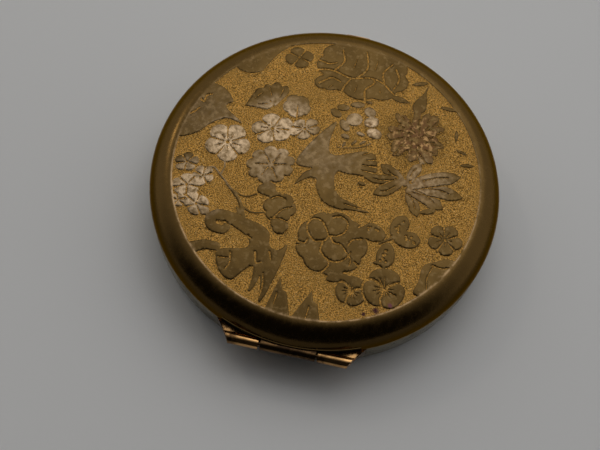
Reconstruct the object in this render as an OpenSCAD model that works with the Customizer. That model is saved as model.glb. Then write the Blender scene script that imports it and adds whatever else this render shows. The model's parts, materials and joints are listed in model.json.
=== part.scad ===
// Round vanity compact for loose powder: a pressed brass case with a domed lid, a
// three-knuckle hinge, a thumb catch, a mirror, a spring door over the powder and a puff.
// Origin: centre of the underside. +Z is up, the hinge is at +Y and the thumb catch at -Y.

/* [Case] */
// Diameter of the lid at its widest
case_d = 70; // [58:1:86]
// Height of the base, from the table to the parting line
base_h = 8.2; // [6.8:0.1:12]
// Height of the lid's shoulder above the parting line
lid_h = 4.9; // [4:0.1:7]
// Height of the straight edge below the lid's round shoulder
lid_edge_h = 0.3; // [0.2:0.05:0.8]
// Rise of the domed top above the shoulder
dome_rise = 0.35; // [0.2:0.05:0.8]
// Radius of the base's rounded bottom edge
foot_r = 3; // [2:0.1:4]
// Thickness of the pressed sheet of both shells
sheet_t = 0.5; // [0.4:0.05:0.6]
// How far the base's wall stands in from the lid's edge
base_inset = 0.2; // [0.1:0.05:0.4]

/* [Frame] */
// Depth of the tray floor below the parting line
tray_drop = 2.5; // [2:0.1:2.8]
// Height of the collar that the lid closes over
collar_h = 1.2; // [0.8:0.1:1.5]
// Room between the base's wall and the powder well, for the catch and the door's hinge
well_margin = 8.9; // [8.9:0.1:13]
// Width of the flange that the well hangs from
well_flange_w = 1.6; // [1:0.1:2]

/* [Lid hinge] */
// Radius of the hinge barrel
barrel_r = 1.15; // [0.9:0.05:1.4]
// Distance of the hinge axis outside the lid's edge
hinge_out = 0.3; // [0.2:0.05:0.6]
// Half length of the lid's middle knuckle
knuckle_half = 5.3; // [3:0.1:7]
// Half length of the whole barrel, at its long side
leaf_half = 12.6; // [10:0.1:14]
// How much shorter the mitred ends make the barrel's outer side, at each end
leaf_taper = 1.2; // [0.6:0.1:2]
// Radius of the hinge pin
pin_r = 0.45; // [0.35:0.05:0.6]

/* [Thumb catch] */
// Width of the thumb piece
thumb_w = 5; // [4:0.1:7]
// How far the catch travels when it is pressed
catch_travel = 0.5; // [0.3:0.05:0.5]

/* [Mirror] */
// Thickness of the mirror glass
mirror_t = 1.1; // [0.8:0.05:1.3]
// Room between the lid's wall and the mirror glass, for the bezel
mirror_margin = 4.1; // [3.9:0.1:9]
// Width of the bezel's lip over the glass
bezel_lip = 1.6; // [1:0.1:2.5]

/* [Powder door] */
// Half length of the door's knuckle
door_knuckle_half = 3; // [2:0.1:4]
// Radius of the door's pin
door_pin_r = 0.3; // [0.25:0.05:0.35]

/* [Powder and puff] */
// Space between the powder and the sifter's screen
powder_room = 0.6; // [0.3:0.1:1.5]
// How far the puff's edge stands in from the door's edge
puff_margin = 2; // [2:0.1:8]
// Space between the puff and the mirror when the lid is shut
puff_room = 0.95; // [0.6:0.05:1.4]

/* [Hidden] */
$fn = 96;

// Clearances
seam = 0.12;          // between the lid's edge and the base's wall
rim_gap = 0.2;        // between the collar and the inside of the lid
pin_gap = 0.03;       // running fit of both hinge pins
knuckle_gap = 0.4;    // between neighbouring knuckles
slide_gap = 0.15;     // round the thumb piece in its slot
catch_gap = 0.1;      // between the hook's nose and the keeper's ledge
glass_gap = 0.2;      // round the mirror in its bezel
cake_gap = 0.2;       // round the powder in the well
door_lift = 0.05;     // between the closed door and the well's flange
soft_gap = 0.1;       // between the puff and the door
eps = 0.01;           // overrun of a cut past a face
far = 200;            // larger than the whole case

// Case
lid_r = case_d / 2;
base_r = lid_r - base_inset;
pan_in = base_r - sheet_t;
lid_in = lid_r - sheet_t;
shoulder_w = lid_h - lid_edge_h;
crease_r = lid_r - shoulder_w;
lid_top = base_h + lid_h;
dome_r = (pow(crease_r, 2) + pow(dome_rise, 2)) / (2 * dome_rise);
dome_fn = 1440;

// Frame
tray_z = base_h - tray_drop;
collar_r = min(pan_in, lid_in - rim_gap);
well_out = pan_in - well_margin;
well_r = well_out - sheet_t;
well_floor = 0.1 + 2 * sheet_t;
flange_t = 0.3;
flange_z = tray_z + flange_t;
collar_gap_half = knuckle_half + 1.2;
catch_gap_half = thumb_w / 2 + 1.5;

// Lid hinge
hinge_y = lid_r + hinge_out;
hinge_z = base_h;
notch_half = leaf_half + 0.9;
notch_h = barrel_r + 0.1;
barrel_clear = 0.25;
tongue_h = 3.4;
tongue_depth = 2.2;
web_drop = 3.6;
web_reach = 5;
strap_t = 0.35;

// Thumb catch, with y counted inwards from the pan's inner wall
thumb_reach = hinge_y + barrel_r;
thumb_z = tray_z + 0.2;
thumb_top = base_h - 0.2;
stem_t = 0.6;
wing_w = 1.1;
wing_t = 0.5;
stem_half = 1.8;
block_in = pan_in - 0.3;
keeper_y = block_in - catch_travel - slide_gap - 0.05;
keeper_t = 0.5;
keeper_half = 2;
keeper_z = thumb_z + stem_t + 0.3;
ledge_t = 0.4;
ledge_end = keeper_y - 2 * keeper_t;
nose_z = keeper_z + ledge_t + 0.2;
nose_t = 0.5;
nose_tip = ledge_end - catch_gap;
post_t = 0.5;
post_y = nose_tip - post_t;
cover_t = 0.3;
cover_front = post_y + 0.4;
cover_back = post_y - 4.2;
cover_half = thumb_w / 2 + 1.6;
cover_top = nose_z + nose_t + cover_t + 0.1;
catch_spring_r = 0.6;
spring_wire_r = 0.12;
catch_spring_z = 0.9;
keeper_ear = 1.5;
keeper_foot = 0.6;
keeper_top = 2;
rivet_r = 0.45;
rivet_head_h = 0.3;
rivet_h = 0.6;
rivet_out = 1.3;
rivet_back = 2.5;

// Mirror
lid_inside_z = lid_top - sheet_t;
bezel_t = 0.5;
pad_h = 0.6;
pad_in = 0.4;
mirror_z = lid_inside_z - pad_h - mirror_t;
bezel_z = mirror_z - bezel_t;
mirror_r = lid_in - mirror_margin;
bezel_in = mirror_r + glass_gap;
bevel_w = 1.2;
bevel_h = 0.5;

// Powder door
door_t = 0.4;
door_z = flange_z + door_lift;
door_r = well_out + well_flange_w - 0.6;
door_barrel_r = 0.75;
door_hinge_y = door_r + 1.5;
door_hinge_z = door_z + door_t + 0.4;
bracket_t = 1.2;
bracket_gap = 0.2;
bracket_foot = 2.2;
door_pin_over = 2.4;
door_spring_gap = 0.3;
door_spring_turns = 4;
door_bead_r = 0.25;
door_bead_in = 1;
door_leaf_in = 1.8;
door_leaf_t = 0.4;
grip_w = 7;
grip_h = 1.4;
grip_d = 1.4;
grip_t = 0.35;
grip_cut = 2;
clip_half = 1.5;
clip_t = 0.3;
clip_ear = 1;
clip_rise = 0.5;
clip_y = well_out + well_flange_w + 0.05;

// Sifter
sifter_r = well_r - 0.2;
sifter_ring_w = 1.6;
sifter_ring_t = 0.4;
sifter_z = tray_z - 1.2;
screen_t = 0.15;
screen_rings = 6;
screen_pitch = (sifter_r - sifter_ring_w) / (screen_rings + 0.8);
screen_hole_r = 0.9;

// Puff
puff_r = door_r - puff_margin;
puff_z = door_z + door_t + soft_gap;
puff_h = mirror_z - puff_room - puff_z;
ribbon_t = 0.3;
puff_back_h = 1;
puff_face_h = puff_h - puff_back_h - ribbon_t;
ribbon_w = 7;
ribbon_in = 1.5;
puff_back_in = 1;

// A ring or, with r_in = 0, a disc between two heights
module ring(r_out, r_in, z0, z1) {
    translate([0, 0, z0]) difference() {
        cylinder(r = r_out, h = z1 - z0);
        if (r_in > 0) translate([0, 0, -eps]) cylinder(r = r_in, h = z1 - z0 + 2 * eps);
    }
}

// A box from its lowest to its highest corner
module span(low, high) {
    translate(low) cube(high - low);
}

// A rod of radius r along X, centred on x = 0
module rod_x(r, half, y, z) {
    translate([-half, y, z]) rotate([0, 90, 0]) cylinder(r = r, h = 2 * half);
}

// Half section of the base's outside, pulled in by inset
module pan_outline(inset) {
    fillet = foot_r - inset;
    difference() {
        translate([0, inset]) square([base_r - inset, base_h - seam - inset]);
        translate([base_r - foot_r, inset]) difference() {
            square([foot_r + eps, fillet]);
            translate([0, fillet]) circle(r = fillet);
        }
    }
}

// Half section of the lid's outside, pulled in by inset
module lid_outline(inset) {
    translate([0, base_h]) square([crease_r, lid_h - inset]);
    translate([0, base_h]) square([lid_r - inset, lid_edge_h]);
    intersection() {
        translate([crease_r, base_h + lid_edge_h]) circle(r = shoulder_w - inset);
        translate([crease_r - eps, base_h + lid_edge_h - eps]) square(shoulder_w + eps);
    }
    intersection() {
        translate([0, lid_top + dome_rise - dome_r]) circle(r = dome_r - inset, $fn = dome_fn);
        translate([0, base_h]) square([crease_r, far]);
    }
}

// The space inside the lid as a solid
module lid_inside() {
    rotate_extrude() intersection() {
        lid_outline(sheet_t);
        square(far);
    }
}

// Body of the base

module base_pan() color("darkkhaki") difference() {
    rotate_extrude() difference() {
        pan_outline(0);
        pan_outline(sheet_t);
        translate([0, base_h / 2]) square([pan_in, base_h]);
    }
    span([-thumb_w / 2 - slide_gap, -far, thumb_z - slide_gap],
         [thumb_w / 2 + slide_gap, -pan_in + 1, base_h]);
    rod_x(barrel_r + barrel_clear, knuckle_half + knuckle_gap, hinge_y, hinge_z);
}

module base_rim() color("goldenrod") difference() {
    union() {
        ring(pan_in, well_out, tray_z - sheet_t, tray_z);
        ring(collar_r, collar_r - sheet_t, tray_z, base_h + collar_h);
    }
    span([-collar_gap_half, 0, tray_z + eps], [collar_gap_half, far, far]);
    span([-catch_gap_half, -far, tray_z + eps], [catch_gap_half, 0, far]);
}

// Section of the base's hinge leaf: barrel and the web that carries it, about the axis
module leaf_section() {
    circle(r = barrel_r);
    polygon([[0, -seam], [0.8 * barrel_r, -0.6 * barrel_r], [-web_drop + 0.6, -web_drop],
             [-web_reach, -web_drop], [-web_reach, -seam]]);
}

module base_hinge_leaf() color("peru") difference() {
    slope = leaf_taper / (2 * barrel_r);
    inner = leaf_half + slope * (web_reach - barrel_r);
    outer = leaf_half - leaf_taper;
    union() {
        intersection() {
            translate([-far / 2, hinge_y, hinge_z]) rotate([90, 0, 90]) linear_extrude(far)
                leaf_section();
            translate([0, hinge_y, 0]) linear_extrude(far) polygon([
                [-inner, -web_reach], [inner, -web_reach], [outer, barrel_r], [-outer, barrel_r]]);
        }
        intersection() {
            ring(base_r + strap_t, base_r - eps, hinge_z - web_drop, hinge_z - barrel_r - barrel_clear);
            span([-leaf_half + 1, 0, 0], [leaf_half - 1, far, far]);
        }
    }
    cylinder(r = base_r, h = far);
    rod_x(barrel_r + barrel_clear, knuckle_half + knuckle_gap, hinge_y, hinge_z);
    rod_x(pin_r, far / 2, hinge_y, hinge_z);
}

module hinge_pin() color("silver")
    rod_x(pin_r, leaf_half - leaf_taper / 2 - 0.3, hinge_y, hinge_z);

module powder_well() color("gold") {
    ring(well_out, 0, well_floor - sheet_t, well_floor);
    ring(well_out, well_r, well_floor, flange_z);
    ring(well_out + well_flange_w, well_out, tray_z, flange_z);
}

module powder_cake() color("bisque") ring(well_r - cake_gap, 0, well_floor, sifter_z - powder_room);

module sifter_frame() color("gold") {
    ring(sifter_r, sifter_r - sifter_ring_t, sifter_z, tray_z);
    ring(sifter_r - sifter_ring_t, sifter_r - sifter_ring_w,
         sifter_z + screen_t, sifter_z + screen_t + sifter_ring_t);
}

module sifter_screen() color("silver") translate([0, 0, sifter_z]) linear_extrude(screen_t)
    difference() {
        circle(r = sifter_r - sifter_ring_t);
        circle(r = screen_hole_r, $fn = 6);
        for (k = [1 : screen_rings - 1], i = [0 : 6 * k - 1])
            rotate(60 * i / k) translate([k * screen_pitch, 0]) circle(r = screen_hole_r, $fn = 6);
    }

module door_bracket() color("peru") difference() {
    for (side = [-1, 1]) {
        x0 = side * (door_knuckle_half + bracket_gap);
        x1 = x0 + side * bracket_t;
        span([min(x0, x1), door_hinge_y - door_barrel_r, flange_z],
             [max(x0, x1), door_hinge_y + door_barrel_r, door_hinge_z]);
        translate([(x0 + x1) / 2, 0, 0]) rod_x(door_barrel_r, bracket_t / 2, door_hinge_y, door_hinge_z);
        span([min(x0, x1), well_out + well_flange_w, tray_z],
             [max(x0, x1), door_hinge_y + bracket_foot, flange_z]);
    }
    rod_x(door_pin_r, far / 2, door_hinge_y, door_hinge_z);
}

module door_pin() color("silver")
    rod_x(door_pin_r, door_knuckle_half + bracket_gap + bracket_t + door_pin_over,
          door_hinge_y, door_hinge_z);

// One turn of wire as a ring, standing for a closely wound coil
module coil(turns, pitch, r) {
    for (i = [0 : turns - 1]) translate([0, 0, i * pitch])
        rotate_extrude() translate([r, 0]) circle(r = spring_wire_r, $fn = 16);
}

module door_spring() color("silver") {
    start = door_knuckle_half + bracket_gap + bracket_t + door_spring_gap;
    for (side = [-1, 1])
        translate([side * start, door_hinge_y, door_hinge_z]) rotate([0, 90 * side, 0])
            coil(door_spring_turns, 2.5 * spring_wire_r, door_pin_r + spring_wire_r + pin_gap);
}

module door_clip() color("silver") {
    span([-clip_half, -clip_y - clip_t, tray_z], [clip_half, -clip_y, door_z + door_t + clip_rise]);
    span([-clip_half - clip_ear, -clip_y - clip_t, tray_z], [clip_half + clip_ear, -clip_y, tray_z + clip_t]);
}

module catch_cover() color("goldenrod") difference() {
    span([-cover_half, -cover_front, tray_z], [cover_half, -cover_back, cover_top]);
    span([-cover_half + cover_t, -cover_front - eps, tray_z - eps],
         [cover_half - cover_t, -cover_back - cover_t, cover_top - cover_t]);
}

module catch_spring() color("silver") {
    room = post_y - post_t - cover_back - cover_t;
    turns = 5;
    translate([0, -post_y + post_t + spring_wire_r, thumb_z + catch_spring_z]) rotate([-90, 0, 0])
        coil(turns, (room - 2 * spring_wire_r) / (turns - 1), catch_spring_r);
}

module catch_rivets() color("goldenrod") for (side = [-1, 1])
    translate([side * (cover_half + rivet_out), -cover_back - rivet_back, tray_z]) {
        cylinder(r = 2 * rivet_r, h = rivet_head_h);
        cylinder(r = rivet_r, h = rivet_h);
    }

// Body of the thumb catch

module catch_tab() color("goldenrod") {
    half = thumb_w / 2;
    intersection() {
        span([-half, -thumb_reach, thumb_z], [half, -block_in, thumb_top]);
        cylinder(r = thumb_reach, h = far);
    }
    span([-half - wing_w, -block_in, thumb_z], [half + wing_w, -block_in + eps + wing_t, thumb_z + stem_t]);
    span([-stem_half, -block_in, thumb_z], [stem_half, -post_y + post_t, thumb_z + stem_t]);
    span([-stem_half, -post_y, thumb_z], [stem_half, -post_y + post_t, nose_z + nose_t]);
    span([-stem_half, -nose_tip, nose_z], [stem_half, -post_y + eps, nose_z + nose_t]);
}

// Body of the lid

module lid_shell() color("darkgoldenrod") difference() {
    rotate_extrude() difference() {
        lid_outline(0);
        lid_outline(sheet_t);
    }
    span([-notch_half, 0, base_h - eps], [notch_half, far, base_h + notch_h]);
}

module lid_hinge_leaf() color("saddlebrown") difference() {
    union() {
        rod_x(barrel_r, knuckle_half, hinge_y, hinge_z);
        span([-knuckle_half, hinge_y - barrel_r, hinge_z + 0.2],
             [knuckle_half, hinge_y, hinge_z + barrel_r - 0.05]);
        intersection() {
            span([-knuckle_half, hinge_y - tongue_depth, hinge_z + 0.2],
                 [knuckle_half, hinge_y, hinge_z + tongue_h]);
            lid_inside();
        }
    }
    rod_x(pin_r + pin_gap, far / 2, hinge_y, hinge_z);
}

module lid_keeper() color("peru") {
    span([-keeper_half, -keeper_y, keeper_z], [keeper_half, -keeper_y + keeper_t, base_h + keeper_top]);
    span([-keeper_half, -keeper_y + keeper_t, keeper_z], [keeper_half, -ledge_end, keeper_z + ledge_t]);
    intersection() {
        span([-keeper_half - keeper_ear, -far, base_h + keeper_foot],
             [keeper_half + keeper_ear, -keeper_y, base_h + keeper_top]);
        lid_inside();
    }
}

module mirror_pad() color("tan") ring(mirror_r - pad_in, 0, mirror_z + mirror_t, lid_inside_z);

module mirror() color("lightcyan") difference() {
    ring(mirror_r, 0, mirror_z, mirror_z + mirror_t);
    rotate_extrude() polygon([[mirror_r - bevel_w, mirror_z - eps], [mirror_r + eps, mirror_z - eps],
                              [mirror_r + eps, mirror_z + bevel_h]]);
}

module mirror_bezel() color("gold") {
    ring(bezel_in + bezel_t, bezel_in - bezel_lip, bezel_z, mirror_z);
    intersection() {
        ring(bezel_in + bezel_t, bezel_in, mirror_z, lid_top);
        lid_inside();
    }
}

// Body of the powder door

module inner_door() color("goldenrod") difference() {
    union() {
        ring(door_r, 0, door_z, door_z + door_t);
        rotate_extrude() translate([door_r - door_bead_in, door_z + door_t - 0.1]) circle(r = door_bead_r);
    }
    ring(far, 0, 0, door_z);
    span([-door_knuckle_half, door_r - 2, door_z + door_t], [door_knuckle_half, far, far]);
    span([-grip_w / 2, -far, door_z + door_t], [grip_w / 2, grip_cut - door_r, far]);
}

module door_leaf() color("peru") difference() {
    union() {
        span([-door_knuckle_half, door_r - door_leaf_in, door_z + door_t],
             [door_knuckle_half, door_hinge_y, door_z + door_t + door_leaf_t]);
        rod_x(door_barrel_r, door_knuckle_half, door_hinge_y, door_hinge_z);
    }
    rod_x(door_pin_r + pin_gap, far / 2, door_hinge_y, door_hinge_z);
}

module door_grip() color("goldenrod") difference() {
    span([-grip_w / 2, -door_r, door_z + door_t], [grip_w / 2, -door_r + grip_d, door_z + door_t + grip_h]);
    span([-grip_w, -door_r + grip_t, door_z], [grip_w, far, door_z + door_t + grip_h - grip_t]);
}

// Body of the puff

module puff_face() color("mistyrose") rotate_extrude() {
    side = puff_face_h / 2;
    translate([0, puff_z]) square([puff_r - side, puff_face_h]);
    intersection() {
        translate([puff_r - side, puff_z + side]) circle(r = side);
        square(far);
    }
}

module puff_back() color("lightpink")
    ring(puff_r - puff_back_in, 0, puff_z + puff_face_h, puff_z + puff_face_h + puff_back_h);

module puff_ribbon() color("pink") intersection() {
    span([-ribbon_w / 2, -puff_r, puff_z + puff_h - ribbon_t], [ribbon_w / 2, puff_r, puff_z + puff_h]);
    cylinder(r = puff_r - ribbon_in, h = far);
}

base_pan();
base_rim();
base_hinge_leaf();
hinge_pin();
powder_well();
powder_cake();
sifter_frame();
sifter_screen();
door_bracket();
door_pin();
door_spring();
door_clip();
catch_cover();
catch_spring();
catch_rivets();
catch_tab();
lid_shell();
lid_hinge_leaf();
lid_keeper();
mirror_pad();
mirror();
mirror_bezel();
inner_door();
door_leaf();
door_grip();
puff_face();
puff_back();
puff_ribbon();
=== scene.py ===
"""The looks of a round brass vanity compact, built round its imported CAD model.

The lid's artwork is cut as real relief, and the base, hinge, catch, mirror, powder door, powder
and puff are made as separate pieces, so the compact also holds up when it is opened.
"""
import json
import logging
from math import asin, cos, exp, pi, radians, sin, sqrt, tan, tau as TAU
from dataclasses import dataclass
from enum import Enum
from typing import Callable, Optional, Sequence

import bmesh
import bpy
import numpy as np
from mathutils import Matrix, Vector
from mathutils.geometry import delaunay_2d_cdt


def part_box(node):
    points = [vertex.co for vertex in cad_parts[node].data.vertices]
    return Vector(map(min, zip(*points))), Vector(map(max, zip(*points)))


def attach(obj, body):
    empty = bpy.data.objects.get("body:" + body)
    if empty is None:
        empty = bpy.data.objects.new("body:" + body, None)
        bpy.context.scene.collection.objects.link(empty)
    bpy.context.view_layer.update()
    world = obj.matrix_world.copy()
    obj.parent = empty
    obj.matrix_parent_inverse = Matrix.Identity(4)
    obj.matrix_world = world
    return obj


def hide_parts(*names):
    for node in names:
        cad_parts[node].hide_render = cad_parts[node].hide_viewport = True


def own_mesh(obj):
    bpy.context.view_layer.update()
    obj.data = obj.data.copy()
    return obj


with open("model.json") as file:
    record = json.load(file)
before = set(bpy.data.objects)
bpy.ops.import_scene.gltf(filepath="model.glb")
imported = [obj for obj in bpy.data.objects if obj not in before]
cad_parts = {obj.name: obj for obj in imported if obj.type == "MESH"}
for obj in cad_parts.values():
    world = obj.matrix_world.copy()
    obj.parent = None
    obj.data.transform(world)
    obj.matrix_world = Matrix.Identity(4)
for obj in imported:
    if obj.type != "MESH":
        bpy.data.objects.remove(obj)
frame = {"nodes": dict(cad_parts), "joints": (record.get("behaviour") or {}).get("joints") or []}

LOG = logging.getLogger("compact")
MM = 0.001
Point = tuple[float, float]
Colour = tuple[float, float, float]
Line = Sequence[Point]
Part = tuple[slice, slice]
Socket = bpy.types.NodeSocket
Material = bpy.types.Material
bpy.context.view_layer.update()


class Body(Enum):
    """The rigid bodies that a piece can ride on."""

    BASE = "base"
    CATCH = "catch"
    LID = "lid"
    DOOR = "powder_door"
    PUFF = "puff"


class Slot(Enum):
    """The material slots of the record."""

    ETCHED = "etched_brass"
    PLATE = "base_plate"
    HINGE = "hinge_brass"
    FRAME = "frame_brass"
    STEEL = "steel"
    SCREEN = "screen"
    POWDER = "powder"
    CARD = "card"
    MIRROR = "mirror"
    VELOUR = "velour"
    SATIN = "satin"
    RIBBON = "ribbon"


# ---------------------------------------------------------------- sizes from the frame


def box_mm(node: str) -> tuple[Vector, Vector]:
    """Give a CAD node's box at rest."""
    low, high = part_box(node)
    return Vector(low) / MM, Vector(high) / MM


def joint_mm(name: str) -> Vector:
    """Give the place of a hinge's axis."""
    return Vector(next(j["pos_m"] for j in frame["joints"] if j["name"] == name)) / MM


# ---------------------------------------------------------------- shader building


class Shader:
    """A material's node tree while a finish builds it. Texture sizes are in millimetres."""

    def __init__(self, name: str) -> None:
        """Start an empty material.

        Args:
            name: Name of the material.
        """
        self.material = bpy.data.materials.new(name)
        self.material.use_nodes = True
        self.tree = self.material.node_tree
        self.tree.nodes.clear()
        self.out = self.tree.nodes.new("ShaderNodeOutputMaterial")
        self.place = self.tree.nodes.new("ShaderNodeTexCoord").outputs["Object"]

    def feed(self, socket: Socket, value: object) -> None:
        """Link a socket to another one, or set its value.

        Args:
            socket: The input socket.
            value: An output socket, a number or a colour.
        """
        if isinstance(value, Socket):
            self.tree.links.new(value, socket)
        elif isinstance(value, tuple) and len(value) == 3 and socket.type == "RGBA":
            socket.default_value = (*value, 1.0)
        else:
            socket.default_value = value

    def node(self, kind: str, inputs: dict, out: object = 0, **settings: object) -> Socket:
        """Add a node and feed its inputs.

        Args:
            kind: The node's type without its ShaderNode prefix.
            inputs: What to feed to each input, by name or number.
            out: Name or number of the output to give.
            settings: Properties to set on it.

        Returns:
            That output.
        """
        made = self.tree.nodes.new("ShaderNode" + kind)
        for key, value in settings.items():
            setattr(made, key, value)
        for key, value in inputs.items():
            self.feed(made.inputs[key], value)
        return made.outputs[out]

    def stretched(self, x: float, y: float, z: float) -> Socket:
        """Give object coordinates scaled by a factor along each axis."""
        return self.node("Mapping", {"Vector": self.place, "Scale": (x, y, z)}, "Vector")

    def noise(self, size: float, detail: float = 3.0, rough: float = 0.55,
              place: Optional[Socket] = None) -> Socket:
        """Add a noise texture with blobs of this size and finer layers, and give its value, 0 to 1."""
        return self.node("TexNoise", {"Vector": place or self.place, "Scale": 1.0 / (size * MM),
                                      "Detail": detail, "Roughness": rough}, "Fac")

    def cells(self, size: float) -> Socket:
        """Add a cell texture, its cells this many millimetres wide, and give its distance."""
        return self.node("TexVoronoi", {"Vector": self.place, "Scale": 1.0 / (size * MM)}, "Distance")

    def attribute(self, name: str) -> Socket:
        """Read a value painted on the mesh."""
        return self.node("Attribute", {}, "Fac", attribute_name=name)

    def ramp(self, value: Socket, low: float, high: float) -> Socket:
        """Stretch a value so that low becomes 0 and high becomes 1, smoothly and clamped."""
        return self.node("MapRange", {"Value": value, "From Min": low, "From Max": high}, "Result",
                         interpolation_type="SMOOTHSTEP")

    def times(self, a: object, b: object) -> Socket:
        """Multiply two values."""
        return self.node("Math", {0: a, 1: b}, operation="MULTIPLY")

    def plus(self, a: object, b: object) -> Socket:
        """Add two values."""
        return self.node("Math", {0: a, 1: b}, operation="ADD")

    def minus(self, a: object, b: object) -> Socket:
        """Take the second value from the first."""
        return self.node("Math", {0: a, 1: b}, operation="SUBTRACT")

    def blend(self, share: object, a: object, b: object) -> Socket:
        """Mix two colours, with share of the second."""
        return self.node("Mix", {"Factor": share, 6: a, 7: b}, 2, data_type="RGBA")

    def between(self, share: object, a: object, b: object) -> Socket:
        """Mix two numbers, with share of the second."""
        return self.node("Mix", {"Factor": share, 2: a, 3: b}, data_type="FLOAT")

    def bump(self, height: Socket, depth: float, strength: object = 1.0,
             under: Optional[Socket] = None) -> Socket:
        """Turn a height into a normal that is depth millimetres deep and can lie on another one."""
        inputs = {"Distance": depth * MM, "Strength": strength, "Height": height}
        return self.node("Bump", inputs | ({"Normal": under} if under else {}), "Normal")

    def finish(self, **sockets: object) -> Material:
        """Close the tree with one Principled shader.

        Args:
            sockets: Its inputs, with underscores for spaces.

        Returns:
            The material.
        """
        inputs = {key.replace("_", " "): value for key, value in sockets.items()}
        self.tree.links.new(self.node("BsdfPrincipled", inputs, "BSDF"), self.out.inputs["Surface"])
        return self.material


# ---------------------------------------------------------------- finishes


@dataclass(frozen=True)
class Brass:
    """Old brass: a warm metal with patchy tarnish, fine scratches and dull spots.

    Attributes:
        clean: Colour of the rubbed metal.
        aged: Colour where it has tarnished.
        tarnish: Share of the surface that is tarnished, from 0 to 1.
        smooth: Roughness of the rubbed metal.
        dull: Roughness of the tarnished metal.
        scratch: Depth of the scratches in millimetres.
        grain: Direction and stretch of the scratches.
        lines: Spacing of turned lines about the axis in millimetres, or 0 for none.
    """

    name: str
    clean: Colour
    aged: Colour
    tarnish: float = 0.5
    smooth: float = 0.22
    dull: float = 0.42
    scratch: float = 0.004
    grain: tuple[float, float, float] = (1.0, 0.08, 1.0)
    lines: float = 0.0

    def material(self) -> Material:
        """Build the material."""
        s = Shader(self.name)
        patches = s.noise(9.0, 5.0, 0.6)
        edge = 1.0 - self.tarnish
        worn = s.ramp(patches, 0.22 + 0.5 * edge, 0.42 + 0.5 * edge)
        mottle = s.noise(0.9, 4.0, 0.65)
        tone = s.blend(s.times(worn, s.ramp(mottle, 0.2, 0.6)), self.clean, self.aged)
        fleck = s.ramp(s.noise(0.35, 2.0), 0.66, 0.74)
        tone = s.blend(s.times(fleck, 0.45), tone, tuple(0.35 * c for c in self.aged))
        strokes = s.noise(0.25, 2.0, 0.5, s.stretched(*self.grain))
        cross = s.noise(0.3, 2.0, 0.5, s.stretched(self.grain[1], self.grain[0], self.grain[2]))
        height = s.plus(strokes, s.times(cross, 0.6))
        normal = s.bump(height, self.scratch)
        dents = s.noise(4.0, 2.0)
        normal = s.bump(dents, 0.03, 0.5, normal)
        if self.lines:
            waves = {"Vector": s.place, "Scale": 0.314 / (self.lines * MM), "Distortion": 0.0}
            rings = s.node("TexWave", waves, "Fac", wave_type="RINGS", rings_direction="Z")
            normal = s.bump(rings, 0.012, 0.6, normal)
        rough = s.between(worn, self.smooth, self.dull)
        rough = s.plus(rough, s.times(s.minus(mottle, 0.5), 0.18))
        return s.finish(Base_Color=tone, Metallic=1.0, Roughness=rough, Normal=normal)


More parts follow.
